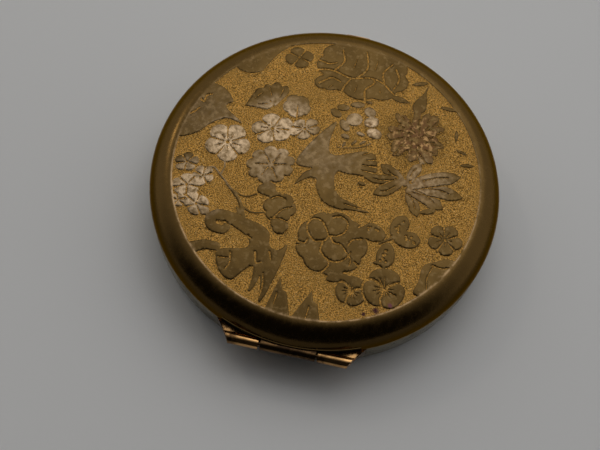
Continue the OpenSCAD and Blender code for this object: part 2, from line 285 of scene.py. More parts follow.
@dataclass(frozen=True)
class EtchedBrass:
    """The lid's finish: a stippled gold ground, and polished brown work that stands above it.

    Attributes:
        grain: Bright gold of the stipple's grains.
        pit: Brown between the grains.
        bronze: The polished work.
        olive: Green-brown age on the polished work.
        blush: Pink-silver of the rubbed blossoms.
        copper: Reddish dark of the deep flower.
        rim: Painted highlight in bright gold along the rolled lower edge.
        dulled: Ground that has lost its gilding.
        painted_glint: Brightest grains.
        dark_ground: Dark ground round the deep flower.
        streaked: Lighter streaks of the polished work.
        glint: Painted glints on the crumples of the deep flower.
        shoulder: The plain shoulder.
        lower: Painted shade, near black, on its lower part.
        speck: Small dark spots.
        worn: The bright line at the crease: metal rubbed bare, with a painted highlight.
        sheen: Tint of the glancing light.
        stipple: Size of the stipple in millimetres.
    """

    name: str = "etched lid brass"
    grain: Colour = (0.86, 0.50, 0.125)
    pit: Colour = (0.085, 0.042, 0.010)
    bronze: Colour = (0.105, 0.062, 0.0195)
    olive: Colour = (0.078, 0.046, 0.0145)
    blush: Colour = (0.50, 0.36, 0.22)
    copper: Colour = (0.09, 0.045, 0.019)
    rim: Colour = (0.80, 0.50, 0.18)
    dulled: Colour = (0.46, 0.27, 0.07)
    painted_glint: Colour = (1.0, 0.72, 0.32)
    dark_ground: Colour = (0.05, 0.028, 0.012)
    streaked: Colour = (0.19, 0.122, 0.05)
    glint: Colour = (0.36, 0.21, 0.085)
    shoulder: Colour = (0.105, 0.061, 0.019)
    lower: Colour = (0.028, 0.017, 0.007)
    speck: Colour = (0.05, 0.03, 0.018)
    worn: Colour = (0.50, 0.33, 0.18)
    sheen: Colour = (0.80, 0.60, 0.38)
    stipple: float = 0.2

    def material(self) -> Material:
        """Build the material."""
        s = Shader(self.name)
        polish = s.ramp(s.attribute("polish"), 0.3, 0.7)
        rubbed = s.attribute("rubbed")
        deep = s.attribute("deep")
        shoulder = s.attribute("shoulder")
        edge = s.attribute("edge")
        rim = s.attribute("rim")

        grains = s.noise(self.stipple, 3.0, 0.7)
        cells = s.cells(self.stipple * 0.9)
        ground = s.blend(s.ramp(grains, 0.36, 0.60), self.pit, self.grain)
        ground = s.blend(s.times(s.ramp(s.noise(7.0, 3.0), 0.45, 0.7), 0.35), ground,
                         self.dulled)
        # Painted glints: scattered grains of the ground are made near white-gold.
        painted_glint_share = s.ramp(s.noise(self.stipple * 1.3, 2.0, 0.5), 0.60, 0.68)
        ground = s.blend(s.times(painted_glint_share, 0.6), ground, self.painted_glint)
        # The ground is darker round the deep flower.
        ground = s.blend(s.times(deep, 0.6), ground, self.dark_ground)

        cloud = s.noise(6.0, 5.0, 0.62)
        metal = s.blend(s.ramp(cloud, 0.38, 0.62), self.bronze, self.olive)
        streak = s.noise(1.1, 4.0, 0.6)
        metal = s.blend(s.times(s.ramp(streak, 0.5, 0.7), 0.6), metal, self.streaked)
        metal = s.blend(s.times(rubbed, s.ramp(streak, 0.25, 0.65)), metal, self.blush)
        metal = s.blend(s.times(deep, s.ramp(streak, 0.62, 0.42)), metal, self.copper)
        # Painted glints on the deep flower's crumples.
        glint = s.times(deep, s.ramp(s.noise(0.9, 3.0, 0.6), 0.52, 0.64))
        metal = s.blend(s.times(glint, 0.7), metal, self.glint)
        metal = s.blend(s.times(s.ramp(shoulder, 0.0, 1.0), 0.85), metal, self.shoulder)
        # Painted shade: the lower part of the shoulder's side is darkened towards black.
        metal = s.blend(s.times(s.ramp(shoulder, 1.1, 1.9), 0.6), metal, self.lower)
        speck = s.ramp(s.noise(0.5, 3.0, 0.6), 0.68, 0.78)
        metal = s.blend(s.times(speck, 0.6), metal, self.speck)

        tone = s.blend(polish, ground, metal)
        # The crease line: metal rubbed bare, with a painted highlight that the edge layer makes stronger on
        # the near side.
        worn = s.times(edge, s.ramp(s.noise(1.6, 4.0, 0.6), 0.3, 0.6))
        tone = s.blend(s.times(worn, 0.5), tone, self.worn)
        # Painted highlight along the rolled lower edge.
        tone = s.blend(s.times(rim, s.ramp(s.noise(3.0, 3.0), 0.3, 0.5)), tone, self.rim)
        for mark in MARKS:
            tone = s.blend(mark.share(s), tone, mark.colour)

        ground_height = s.plus(s.times(grains, 1.0), s.times(cells, 0.8))
        ground_share = s.minus(1.0, polish)
        normal = s.bump(ground_height, 0.14, ground_share)
        crumple = s.noise(0.55, 3.0, 0.6)
        uneven = s.plus(s.times(s.node("Math", {0: rubbed, 1: deep}, operation="MAXIMUM"), 0.9), 0.1)
        normal = s.bump(crumple, 0.07, s.times(uneven, polish), normal)
        waves = s.noise(5.0, 2.0)
        normal = s.bump(waves, 0.05, s.times(polish, 0.5), normal)
        strokes = s.noise(0.2, 2.0, 0.5, s.stretched(1.0, 0.06, 1.0))
        normal = s.bump(strokes, 0.004, s.times(polish, 0.8), normal)

        smooth = s.plus(0.26, s.times(s.minus(streak, 0.5), 0.3))
        smooth = s.minus(smooth, s.times(shoulder, 0.01))
        rough = s.between(polish, 0.64, smooth)
        return s.finish(Base_Color=tone, Metallic=1.0, Roughness=rough, Normal=normal,
                        Specular_Tint=self.sheen)


@dataclass(frozen=True)
class Mark:
    """A stain on the lid.

    Attributes:
        place: Its centre on the lid, in millimetres.
        size: Its radius in millimetres.
        colour: Its colour.
    """

    place: tuple[float, float, float]
    size: float
    colour: Colour

    def share(self, s: Shader) -> Socket:
        """Give how much of the stain shows at each point.

        Args:
            s: The shader being built.

        Returns:
            Its share, from 0 to 1.
        """
        centre = tuple(c * MM for c in self.place)
        gap = s.node("VectorMath", {0: s.place, 1: centre}, "Value", operation="DISTANCE")
        ragged = s.times(s.minus(s.noise(0.8, 3.0), 0.5), 1.4 * self.size * MM)
        near = s.plus(gap, ragged)
        return s.ramp(near, self.size * MM, 0.3 * self.size * MM)


MARKS = (
    Mark((31.4, 3.5, 12.4), 0.55, (0.16, 0.03, 0.02)),
    Mark((-14.6, 25.8, 13.1), 0.9, (0.10, 0.035, 0.045)),
    Mark((-17.0, 24.2, 13.1), 0.7, (0.11, 0.04, 0.05)),
    Mark((-12.4, 26.9, 13.1), 0.6, (0.12, 0.05, 0.05)),
)


@dataclass(frozen=True)
class Cloth:
    """A fabric with its own weave or pile.

    Attributes:
        light: Colour of the raised threads.
        shade: Colour between them.
        thread: Size of a thread or tuft in millimetres.
        depth: Depth of the weave in millimetres.
        pile: True for velour, False for a woven satin.
    """

    name: str
    light: Colour
    shade: Colour
    thread: float
    depth: float
    pile: bool = False

    def material(self) -> Material:
        """Build the material."""
        s = Shader(self.name)
        worn = s.ramp(s.noise(5.0, 3.0), 0.35, 0.7)
        if self.pile:
            tufts = s.cells(self.thread)
            height = s.plus(tufts, s.noise(self.thread * 0.6, 3.0, 0.7))
            tone = s.blend(s.ramp(height, 0.35, 1.2), self.light, self.shade)
            gloss, sheen = 0.95, 0.8
        else:
            across = s.noise(self.thread, 2.0, 0.5, s.stretched(1.0, 0.12, 1.0))
            along = s.noise(self.thread, 2.0, 0.5, s.stretched(0.12, 1.0, 1.0))
            height = s.plus(across, s.times(along, 0.5))
            tone = s.blend(s.ramp(height, 0.5, 1.0), self.shade, self.light)
            gloss, sheen = 0.42, 0.35
        tone = s.blend(s.times(worn, 0.35), tone, tuple(0.8 * c for c in self.shade))
        normal = s.bump(height, self.depth, 0.8)
        return s.finish(Base_Color=tone, Roughness=gloss, Normal=normal, Sheen_Weight=sheen,
                        Sheen_Roughness=0.4)


@dataclass(frozen=True)
class Powder:
    """Fine face powder, pressed, with loose grains on it.

    Attributes:
        grain: Size of its crumbs in millimetres.
    """

    name: str = "face powder"
    tint: Colour = (0.74, 0.47, 0.34)
    grain: float = 0.12

    def material(self) -> Material:
        """Build the material."""
        s = Shader(self.name)
        crumbs = s.noise(self.grain, 4.0, 0.7)
        drift = s.noise(3.0, 4.0, 0.6)
        tone = s.blend(s.ramp(crumbs, 0.3, 0.7), tuple(0.86 * c for c in self.tint), self.tint)
        tone = s.blend(s.times(s.ramp(drift, 0.4, 0.7), 0.5), tone, (0.84, 0.60, 0.48))
        normal = s.bump(drift, 0.08, 0.7, s.bump(crumbs, 0.03))
        return s.finish(Base_Color=tone, Roughness=0.95, Normal=normal, Sheen_Weight=0.2)


@dataclass(frozen=True)
class Card:
    """Grey-brown card with fibres."""

    name: str = "backing card"
    tint: Colour = (0.36, 0.28, 0.19)

    def material(self) -> Material:
        """Build the material."""
        s = Shader(self.name)
        fibres = s.noise(0.4, 4.0, 0.7, s.stretched(1.0, 0.2, 1.0))
        tone = s.blend(s.ramp(fibres, 0.3, 0.7), tuple(0.6 * c for c in self.tint), self.tint)
        return s.finish(Base_Color=tone, Roughness=0.9, Normal=s.bump(fibres, 0.03))


@dataclass(frozen=True)
class Looking:
    """Silvered glass with a few foxed spots and dust.

    Attributes:
        silver: Colour of the silvering.
        foxing: Colour of the old spots.
    """

    name: str = "silvered glass"
    silver: Colour = (0.88, 0.89, 0.89)
    foxing: Colour = (0.33, 0.26, 0.17)

    def material(self) -> Material:
        """Build the material."""
        s = Shader(self.name)
        spots = s.ramp(s.noise(1.5, 5.0, 0.7), 0.70, 0.80)
        bloom = s.ramp(s.noise(14.0, 4.0, 0.6), 0.5, 0.8)
        tone = s.blend(s.times(spots, 0.8), self.silver, self.foxing)
        rough = s.plus(0.015, s.times(bloom, 0.05))
        rough = s.plus(rough, s.times(spots, 0.35))
        return s.finish(Base_Color=tone, Metallic=1.0, Roughness=rough, Coat_Weight=1.0,
                        Coat_Roughness=0.01)


@dataclass(frozen=True)
class Wire:
    """Drawn steel."""

    name: str = "drawn steel"
    tint: Colour = (0.50, 0.50, 0.49)

    def material(self) -> Material:
        """Build the material."""
        s = Shader(self.name)
        draw = s.noise(0.12, 3.0, 0.6, s.stretched(0.1, 1.0, 1.0))
        rust = s.ramp(s.noise(0.7, 4.0, 0.6), 0.62, 0.75)
        tone = s.blend(s.times(rust, 0.5), self.tint, (0.25, 0.13, 0.06))
        rough = s.between(rust, 0.28, 0.6)
        return s.finish(Base_Color=tone, Metallic=1.0, Roughness=rough, Normal=s.bump(draw, 0.01))


@dataclass(frozen=True)
class Floor:
    """A plain pale table top."""

    name: str = "pale floor"
    tint: Colour = (0.755, 0.755, 0.755)

    def material(self) -> Material:
        """Build the material."""
        s = Shader(self.name)
        drift = s.noise(40.0, 3.0)
        tone = s.blend(s.times(drift, 0.12), self.tint, tuple(0.9 * c for c in self.tint))
        return s.finish(Base_Color=tone, Roughness=0.75, Normal=s.bump(s.noise(0.5, 2.0), 0.01))


class Finishes:
    """Every finish of the compact, built once."""

    def __init__(self) -> None:
        """Build the materials."""
        gilt = dict(clean=(0.83, 0.60, 0.27), aged=(0.52, 0.36, 0.15))
        # Tarnished brass darkened further as painted shade, for the lid's knuckle and the pin that sit under
        # the lid.
        self.tarnish_and_shade_hinge = Brass("tarnished and shaded hinge brass", (0.16, 0.09, 0.036), (0.04, 0.023, 0.012), 0.75,
                                0.16, 0.3, 0.006, (0.05, 1.0, 1.0)).material()
        self.made = {
            Slot.ETCHED: EtchedBrass().material(),
            Slot.PLATE: Brass("plated base brass", (0.27, 0.235, 0.155), (0.14, 0.125, 0.085), 0.6,
                              0.2, 0.36, 0.005, (0.05, 0.05, 1.0)).material(),
            Slot.HINGE: Brass("polished hinge brass", (0.60, 0.34, 0.13), (0.09, 0.047, 0.019), 0.6,
                              0.13, 0.26, 0.006, (0.05, 1.0, 1.0)).material(),
            Slot.FRAME: Brass("gilt frame brass", **gilt, tarnish=0.4, smooth=0.16, dull=0.3,
                              lines=0.35).material(),
            Slot.STEEL: Wire().material(),
            Slot.SCREEN: Brass("pierced screen brass", (0.74, 0.62, 0.40), (0.45, 0.36, 0.20), 0.4,
                               0.2, 0.35).material(),
            Slot.POWDER: Powder().material(),
            Slot.CARD: Card().material(),
            Slot.MIRROR: Looking().material(),
            Slot.VELOUR: Cloth("cotton velour", (0.86, 0.62, 0.54), (0.62, 0.38, 0.32), 0.28, 0.22,
                               True).material(),
            Slot.SATIN: Cloth("satin back", (0.80, 0.50, 0.46), (0.56, 0.31, 0.29), 0.16,
                              0.03).material(),
            Slot.RIBBON: Cloth("satin ribbon", (0.78, 0.42, 0.40), (0.50, 0.24, 0.23), 0.14,
                               0.03).material(),
        }

    def __getitem__(self, slot: Slot) -> Material:
        """Give the material of a slot."""
        return self.made[slot]


# ---------------------------------------------------------------- mesh building


@dataclass
class Shape:
    """A mesh in millimetres while it is being made.

    Attributes:
        points: One row of x, y, z for each vertex.
        faces: Lists of vertex numbers.
    """

    points: np.ndarray
    faces: list

    @staticmethod
    def turned(section: Line, angle: np.ndarray,
               lift: Optional[Callable[[np.ndarray, np.ndarray], np.ndarray]] = None) -> "Shape":
        """Turn a closed section about the Z axis.

        Args:
            section: Points of radius and height in order, closing on themselves. A point with
                radius 0 becomes one vertex.
            angle: The angles of the steps.
            lift: Changes the points, given the array of them (section, step, xyz) and the angles.

        Returns:
            The shape.
        """
        steps = len(angle)
        rz = np.array(section, float)
        grid = np.stack([rz[:, :1] * np.cos(angle), rz[:, :1] * np.sin(angle),
                         np.repeat(rz[:, 1:], steps, 1)], -1)
        if lift:
            grid = lift(grid, angle)
        count = len(section)
        faces = []
        step = np.arange(steps)
        for i in range(count):
            j = (i + 1) % count
            if rz[i, 0] < 1e-6 and rz[j, 0] < 1e-6:
                continue
            a, b = i * steps + step, i * steps + (step + 1) % steps
            c, d = j * steps + (step + 1) % steps, j * steps + step
            faces += np.stack([a, b, c, d], 1).tolist()
        return Shape(grid.reshape(-1, 3), faces).merged()

    def merged(self) -> "Shape":
        """Give the shape with vertices that share a place joined into one."""
        keys = np.round(self.points / 1e-5).astype(np.int64)
        _, first, back = np.unique(keys, axis=0, return_index=True, return_inverse=True)
        back = back.ravel()
        faces = []
        for face in self.faces:
            loop = [int(back[i]) for i in face]
            loop = [v for k, v in enumerate(loop) if v != loop[k - 1]]
            if len(loop) > 2:
                faces.append(loop)
        return Shape(self.points[first], faces)

    def joined(self, other: "Shape") -> "Shape":
        """Give this shape and another one as one.

        Args:
            other: The other shape.

        Returns:
            Both together.
        """
        shift = len(self.points)
        moved = [[i + shift for i in face] for face in other.faces]
        return Shape(np.vstack([self.points, other.points]), self.faces + moved)

    def placed(self, matrix: Matrix) -> "Shape":
        """Give the shape moved by a matrix."""
        m = np.array(matrix)
        return Shape(self.points @ m[:3, :3].T + m[:3, 3], self.faces)


@dataclass
class Maker:
    """Turns shapes into pieces that ride on the frame.

    Attributes:
        finishes: The materials.
    """

    finishes: Finishes

    def piece(self, name: str, shape: Shape, body: Body, slot: Slot, *nodes: str,
              crease: float = 35.0, bevel: float = 0.0) -> bpy.types.Object:
        """Make a piece.

        Args:
            name: Name of the piece.
            shape: Its mesh in millimetres.
            body: The body that it rides on.
            slot: Its material slot.
            nodes: The CAD nodes that it replaces.
            crease: Edges sharper than this angle in degrees stay sharp.
            bevel: Width of a bevel on the sharp edges in millimetres.

        Returns:
            The piece.
        """
        mesh = bpy.data.meshes.new(name)
        mesh.from_pydata((shape.points * MM).tolist(), [], shape.faces)
        mesh.validate()
        piece = bpy.data.objects.new(name, mesh)
        bpy.context.scene.collection.objects.link(piece)
        self.settle(mesh, crease, bevel)
        self.dress(piece, slot)
        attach(piece, body.value)
        if nodes:
            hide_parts(*nodes)
        return piece

    def eased(self, name: str, node: str, body: Body, slot: Slot, bevel: float) -> bpy.types.Object:
        """Make a piece that has a CAD node's form with its edges eased.

        Args:
            name: Name of the piece.
            node: The CAD node, which it replaces.
            body: The body that it rides on.
            slot: Its material slot.
            bevel: Width of the eased edges in millimetres.

        Returns:
            The piece.
        """
        bm = bmesh.new()
        bm.from_mesh(frame["nodes"][node].data)
        bmesh.ops.remove_doubles(bm, verts=bm.verts, dist=1e-6)
        bmesh.ops.dissolve_limit(bm, angle_limit=radians(0.5), verts=bm.verts, edges=bm.edges)
        bm.verts.index_update()
        points = np.array([v.co for v in bm.verts]) / MM
        faces = [[v.index for v in face.verts] for face in bm.faces]
        bm.free()
        return self.piece(name, Shape(points, faces), body, slot, node, crease=30, bevel=bevel)

    def settle(self, mesh: bpy.types.Mesh, crease: float, bevel: float) -> None:
        """Turn a mesh's faces outwards, bevel its sharp edges and shade the rest smooth.

        Args:
            mesh: The mesh.
            crease: Edges sharper than this angle in degrees are sharp.
            bevel: Width of the bevel in millimetres.
        """
        bm = bmesh.new()
        bm.from_mesh(mesh)
        bmesh.ops.recalc_face_normals(bm, faces=bm.faces)
        if bevel:
            sharp = [e for e in bm.edges if len(e.link_faces) == 2
                     and e.calc_face_angle() > radians(crease)]
            bmesh.ops.bevel(bm, geom=sharp, offset=bevel * MM, segments=3, profile=0.5,
                            affect="EDGES", clamp_overlap=True)
        bm.to_mesh(mesh)
        bm.free()
        mesh.shade_smooth()
        mesh.set_sharp_from_angle(angle=radians(crease))

    def dress(self, piece: bpy.types.Object, slot: Slot) -> None:
        """Give a piece the material of its slot.

        Args:
            piece: The piece.
            slot: Its material slot.
        """
        piece.data.materials.clear()
        piece.data.materials.append(self.finishes[slot])

    def refinish(self, node: str, slot: Slot) -> None:
        """Give a CAD node that stays visible its material.

        Args:
            node: Name of the node.
            slot: Its material slot.
        """
        mesh = frame["nodes"][node].data
        mesh.materials.clear()
        mesh.materials.append(self.finishes[slot])


def rounded(corners: Line, radii: Sequence[float], steps: int = 6) -> list[Point]:
    """Round the corners of a closed outline with arcs.

    Args:
        corners: Its corners in order.
        radii: The radius at each corner, 0 for a sharp one.
        steps: Number of steps in each arc.

    Returns:
        The points of the rounded outline.
    """
    out: list[Point] = []
    count = len(corners)
    for i, radius in enumerate(radii):
        here = Vector(corners[i])
        back = (Vector(corners[i - 1]) - here).normalized()
        on = (Vector(corners[(i + 1) % count]) - here).normalized()
        if radius <= 0:
            out.append(tuple(here))
            continue
        half = back.angle(on) / 2
        reach = radius / tan(half)
        centre = here + (back + on).normalized() * (radius / sin(half))
        start = here + back * reach - centre
        end = here + on * reach - centre
        sweep = start.angle(end)
        for k in range(steps + 1):
            t = k / steps
            mix = start * sin((1 - t) * sweep) + end * sin(t * sweep)
            out.append(tuple(centre + mix / sin(sweep)))
    return out


def swept(path: np.ndarray, radius: float, sides: int) -> Shape:
    """Sweep a round wire with closed ends along a path.

    Args:
        path: One row of x, y, z for each point.
        radius: Radius of the wire.
        sides: Number of its sides.

    Returns:
        The shape.
    """
    tangent = np.gradient(path, axis=0)
    tangent /= np.linalg.norm(tangent, axis=1)[:, None]
    side = np.cross(tangent, (0.31, 0.17, 0.94))
    side /= np.linalg.norm(side, axis=1)[:, None]
    up = np.cross(tangent, side)
    a = np.arange(sides) * TAU / sides
    ring = np.cos(a)[:, None, None] * side + np.sin(a)[:, None, None] * up
    points = (path + radius * ring).transpose(1, 0, 2).reshape(-1, 3)
    faces = []
    for i in range(len(path) - 1):
        for k in range(sides):
            p, q = i * sides + k, i * sides + (k + 1) % sides
            faces.append([p, q, q + sides, p + sides])
    faces.append(list(range(sides))[::-1])
    faces.append([(len(path) - 1) * sides + k for k in range(sides)])
    return Shape(points, faces)


# ---------------------------------------------------------------- the lid's artwork


class Artwork:
    """The etched picture as a signed distance: positive millimetres inside polished metal.

    The picture's u runs to the right and v upwards, seen with the hinge at the bottom.
    """

    def __init__(self, radius: float, step: float = 0.08) -> None:
        """Start with bare ground.

        Args:
            radius: Radius of the picture in millimetres.
            step: Spacing of its grid.
        """
        self.step = step
        self.half = int(radius / step) + 4
        size = 2 * self.half + 1
        self.axis = (np.arange(size) - self.half) * step
        self.depth = np.full((size, size), -5.0)
        self.rubbed = np.zeros((size, size))
        self.deep = np.zeros((size, size))

    def window(self, points: np.ndarray, margin: float) -> tuple[Part, list[np.ndarray]]:
        """Give the part of the grid round some points.

        Args:
            points: Rows of u, v.
            margin: Extra room round them.

        Returns:
            Its slices of v and u, and the u and v of its grid points.
        """
        low = np.clip(((points.min(0) - margin) / self.step).astype(int) + self.half, 0, len(self.axis) - 1)
        high = np.clip(((points.max(0) + margin) / self.step).astype(int) + self.half + 2, 1, len(self.axis))
        rows, cols = slice(low[1], high[1]), slice(low[0], high[0])
        return (rows, cols), np.meshgrid(self.axis[cols], self.axis[rows])

    def inside(self, outline: Line) -> tuple[Part, np.ndarray]:
        """Give the signed distance to a closed outline.

        Args:
            outline: Its points.

        Returns:
            The part of the grid round it, and the distances there, positive inside.
        """
        line = np.array(outline, float)
        part, (u, v) = self.window(line, 0.8)
        near = np.full(u.shape, 1e9)
        odd = np.zeros(u.shape, bool)
        for (x0, y0), (x1, y1) in zip(line, np.roll(line, -1, 0)):
            dx, dy = x1 - x0, y1 - y0
            t = np.clip(((u - x0) * dx + (v - y0) * dy) / (dx * dx + dy * dy + 1e-12), 0, 1)
            near = np.minimum(near, (u - x0 - t * dx) ** 2 + (v - y0 - t * dy) ** 2)
            if dy:
                crosses = (y0 > v) != (y1 > v)
                odd ^= crosses & (u < (v - y0) * dx / dy + x0)
        return part, np.where(odd, 1, -1) * np.sqrt(near)

    def stroke(self, line: Line, start: float, end: float, margin: float) -> tuple[Part, np.ndarray]:
        """Give the signed distance to a tapering line.

        Args:
            line: Points along its middle.
            start: Its width at the first point.
            end: Its width at the last point.
            margin: Room round it.

        Returns:
            The part of the grid round it, and the distances there, positive inside.
        """
        path = np.array(line, float)
        part, (u, v) = self.window(path, margin)
        best = np.full(u.shape, -1e9)
        count = len(path) - 1
        for i in range(count):
            (x0, y0), (x1, y1) = path[i], path[i + 1]
            dx, dy = x1 - x0, y1 - y0
            t = np.clip(((u - x0) * dx + (v - y0) * dy) / (dx * dx + dy * dy + 1e-12), 0, 1)
            gap = np.hypot(u - x0 - t * dx, v - y0 - t * dy)
            along = (i + t) / count
            best = np.maximum(best, 0.5 * (start + (end - start) * along) - gap)
        return part, best

    def raise_shape(self, outline: Line) -> None:
        """Leave a closed shape standing in polished metal."""
        part, found = self.inside(outline)
        self.depth[part] = np.maximum(self.depth[part], found)

    def raise_line(self, line: Line, start: float, end: float) -> None:
        """Leave a line standing that tapers from one width to another, such as a stem."""
        part, found = self.stroke(line, start, end, 1.2 + max(start, end) / 2)
        self.depth[part] = np.maximum(self.depth[part], found)

    def cut_line(self, line: Line, width: float, end: Optional[float] = None) -> None:
        """Etch a line of this width into the polished metal, tapering if its end width is given."""
        part, found = self.stroke(line, width, width if end is None else end, 1.0)
        self.depth[part] = np.minimum(self.depth[part], -found)

    def cut_shape(self, outline: Line) -> None:
        """Etch a closed shape away."""
        part, found = self.inside(outline)
        self.depth[part] = np.minimum(self.depth[part], -found)

    def shade(self, layer: np.ndarray, centre: Point, radius: float, amount: float) -> None:
        """Paint a soft round patch on a layer.

        Args:
            layer: The layer, rubbed or deep.
            centre: Its centre.
            radius: Its radius.
            amount: How strong it is, from 0 to 1.
        """
        u, v = np.meshgrid(self.axis, self.axis)
        gap = np.hypot(u - centre[0], v - centre[1]) / radius
        np.maximum(layer, amount * np.clip(1.6 - 1.6 * gap, 0, 1), out=layer)

    def at(self, layer: np.ndarray, spots: np.ndarray) -> np.ndarray:
        """Read a layer between its grid points.

        Args:
            layer: The layer.
            spots: Rows of u, v.

        Returns:
            One value for each spot.
        """
        place = np.clip(spots / self.step + self.half, 0, len(self.axis) - 2.001)
        cell = place.astype(int)
        f = place - cell
        c, r = cell[:, 0], cell[:, 1]
        low = layer[r, c] * (1 - f[:, 0]) + layer[r, c + 1] * f[:, 0]
        high = layer[r + 1, c] * (1 - f[:, 0]) + layer[r + 1, c + 1] * f[:, 0]
        return low * (1 - f[:, 1]) + high * f[:, 1]


def smooth_line(points: Line, closed: bool = False, steps: int = 5) -> list[Point]:
    """Run a smooth curve through points.

    Args:
        points: The points.
        closed: True if it closes on itself.
        steps: Number of steps between two points.

    Returns:
        The points of the curve.
    """
    p = np.array(points, float)
    n = len(p)
    out = []
    for i in range(n if closed else n - 1):
        pick = (lambda k: p[k % n]) if closed else (lambda k: p[min(max(k, 0), n - 1)])
        a, b, c, d = pick(i - 1), pick(i), pick(i + 1), pick(i + 2)
        for t in np.arange(steps) / steps:
            out.append(0.5 * (2 * b + (c - a) * t + (2 * a - 5 * b + 4 * c - d) * t * t
                              + (3 * b - a - 3 * c + d) * t ** 3))
    if not closed:
        out.append(p[-1])
    return [tuple(q) for q in out]


def moved(points: Line, centre: Point, turn: float = 0.0, scale: float = 1.0) -> list[Point]:
    """Turn, scale and move points."""
    c, s = cos(radians(turn)) * scale, sin(radians(turn)) * scale
    return [(centre[0] + c * x - s * y, centre[1] + s * x + c * y) for x, y in points]


def petal(length: float, width: float, waist: float = 0.5, notch: float = 0.0,
          point: float = 0.0) -> list[Point]:
    """Outline a petal that runs along u from the origin.

    Args:
        length: Its length.
        width: Its greatest width.
        waist: How much narrower its base is, from 0 to 1.
        notch: Depth of a dent at its tip.
        point: How far its tip is drawn out.

    Returns:
        Its outline.
    """
    out = []
    for a in np.linspace(0, TAU, 28, endpoint=False):
        along = 0.5 * (1 - cos(a))
        tip = exp(-(((a - pi) / 0.4) ** 2))
        u = length * along - notch * tip + point * tip
        narrow = 1 - waist * (1 - along)
        out.append((u, 0.5 * width * sin(a) * narrow * (1 - 0.5 * tip * (point > 0))))
    return out


def lobed(radius: float, lobes: int, dent: float, start: float = 0.0, squash: float = 1.0) -> list[Point]:
    """Outline a round shape with lobes.

    Args:
        radius: Its outer radius.
        lobes: Number of lobes.
        dent: Depth of the dents between them, as a share of the radius.
        start: Where the first dent is, in degrees.
        squash: Its height as a share of its width.

    Returns:
        Its outline.
    """
    out = []
    for a in np.linspace(0, TAU, max(12 * lobes, 48), endpoint=False):
        wave = abs(sin(0.5 * lobes * (a - radians(start))))
        r = radius * (1 - dent * (1 - wave ** 0.6))
        out.append((r * cos(a), squash * r * sin(a)))
    return out


def disc(radius: float, centre: Point = (0.0, 0.0), steps: int = 20) -> list[Point]:
    """Outline a disc."""
    return [(centre[0] + radius * cos(a), centre[1] + radius * sin(a))
            for a in np.linspace(0, TAU, steps, endpoint=False)]


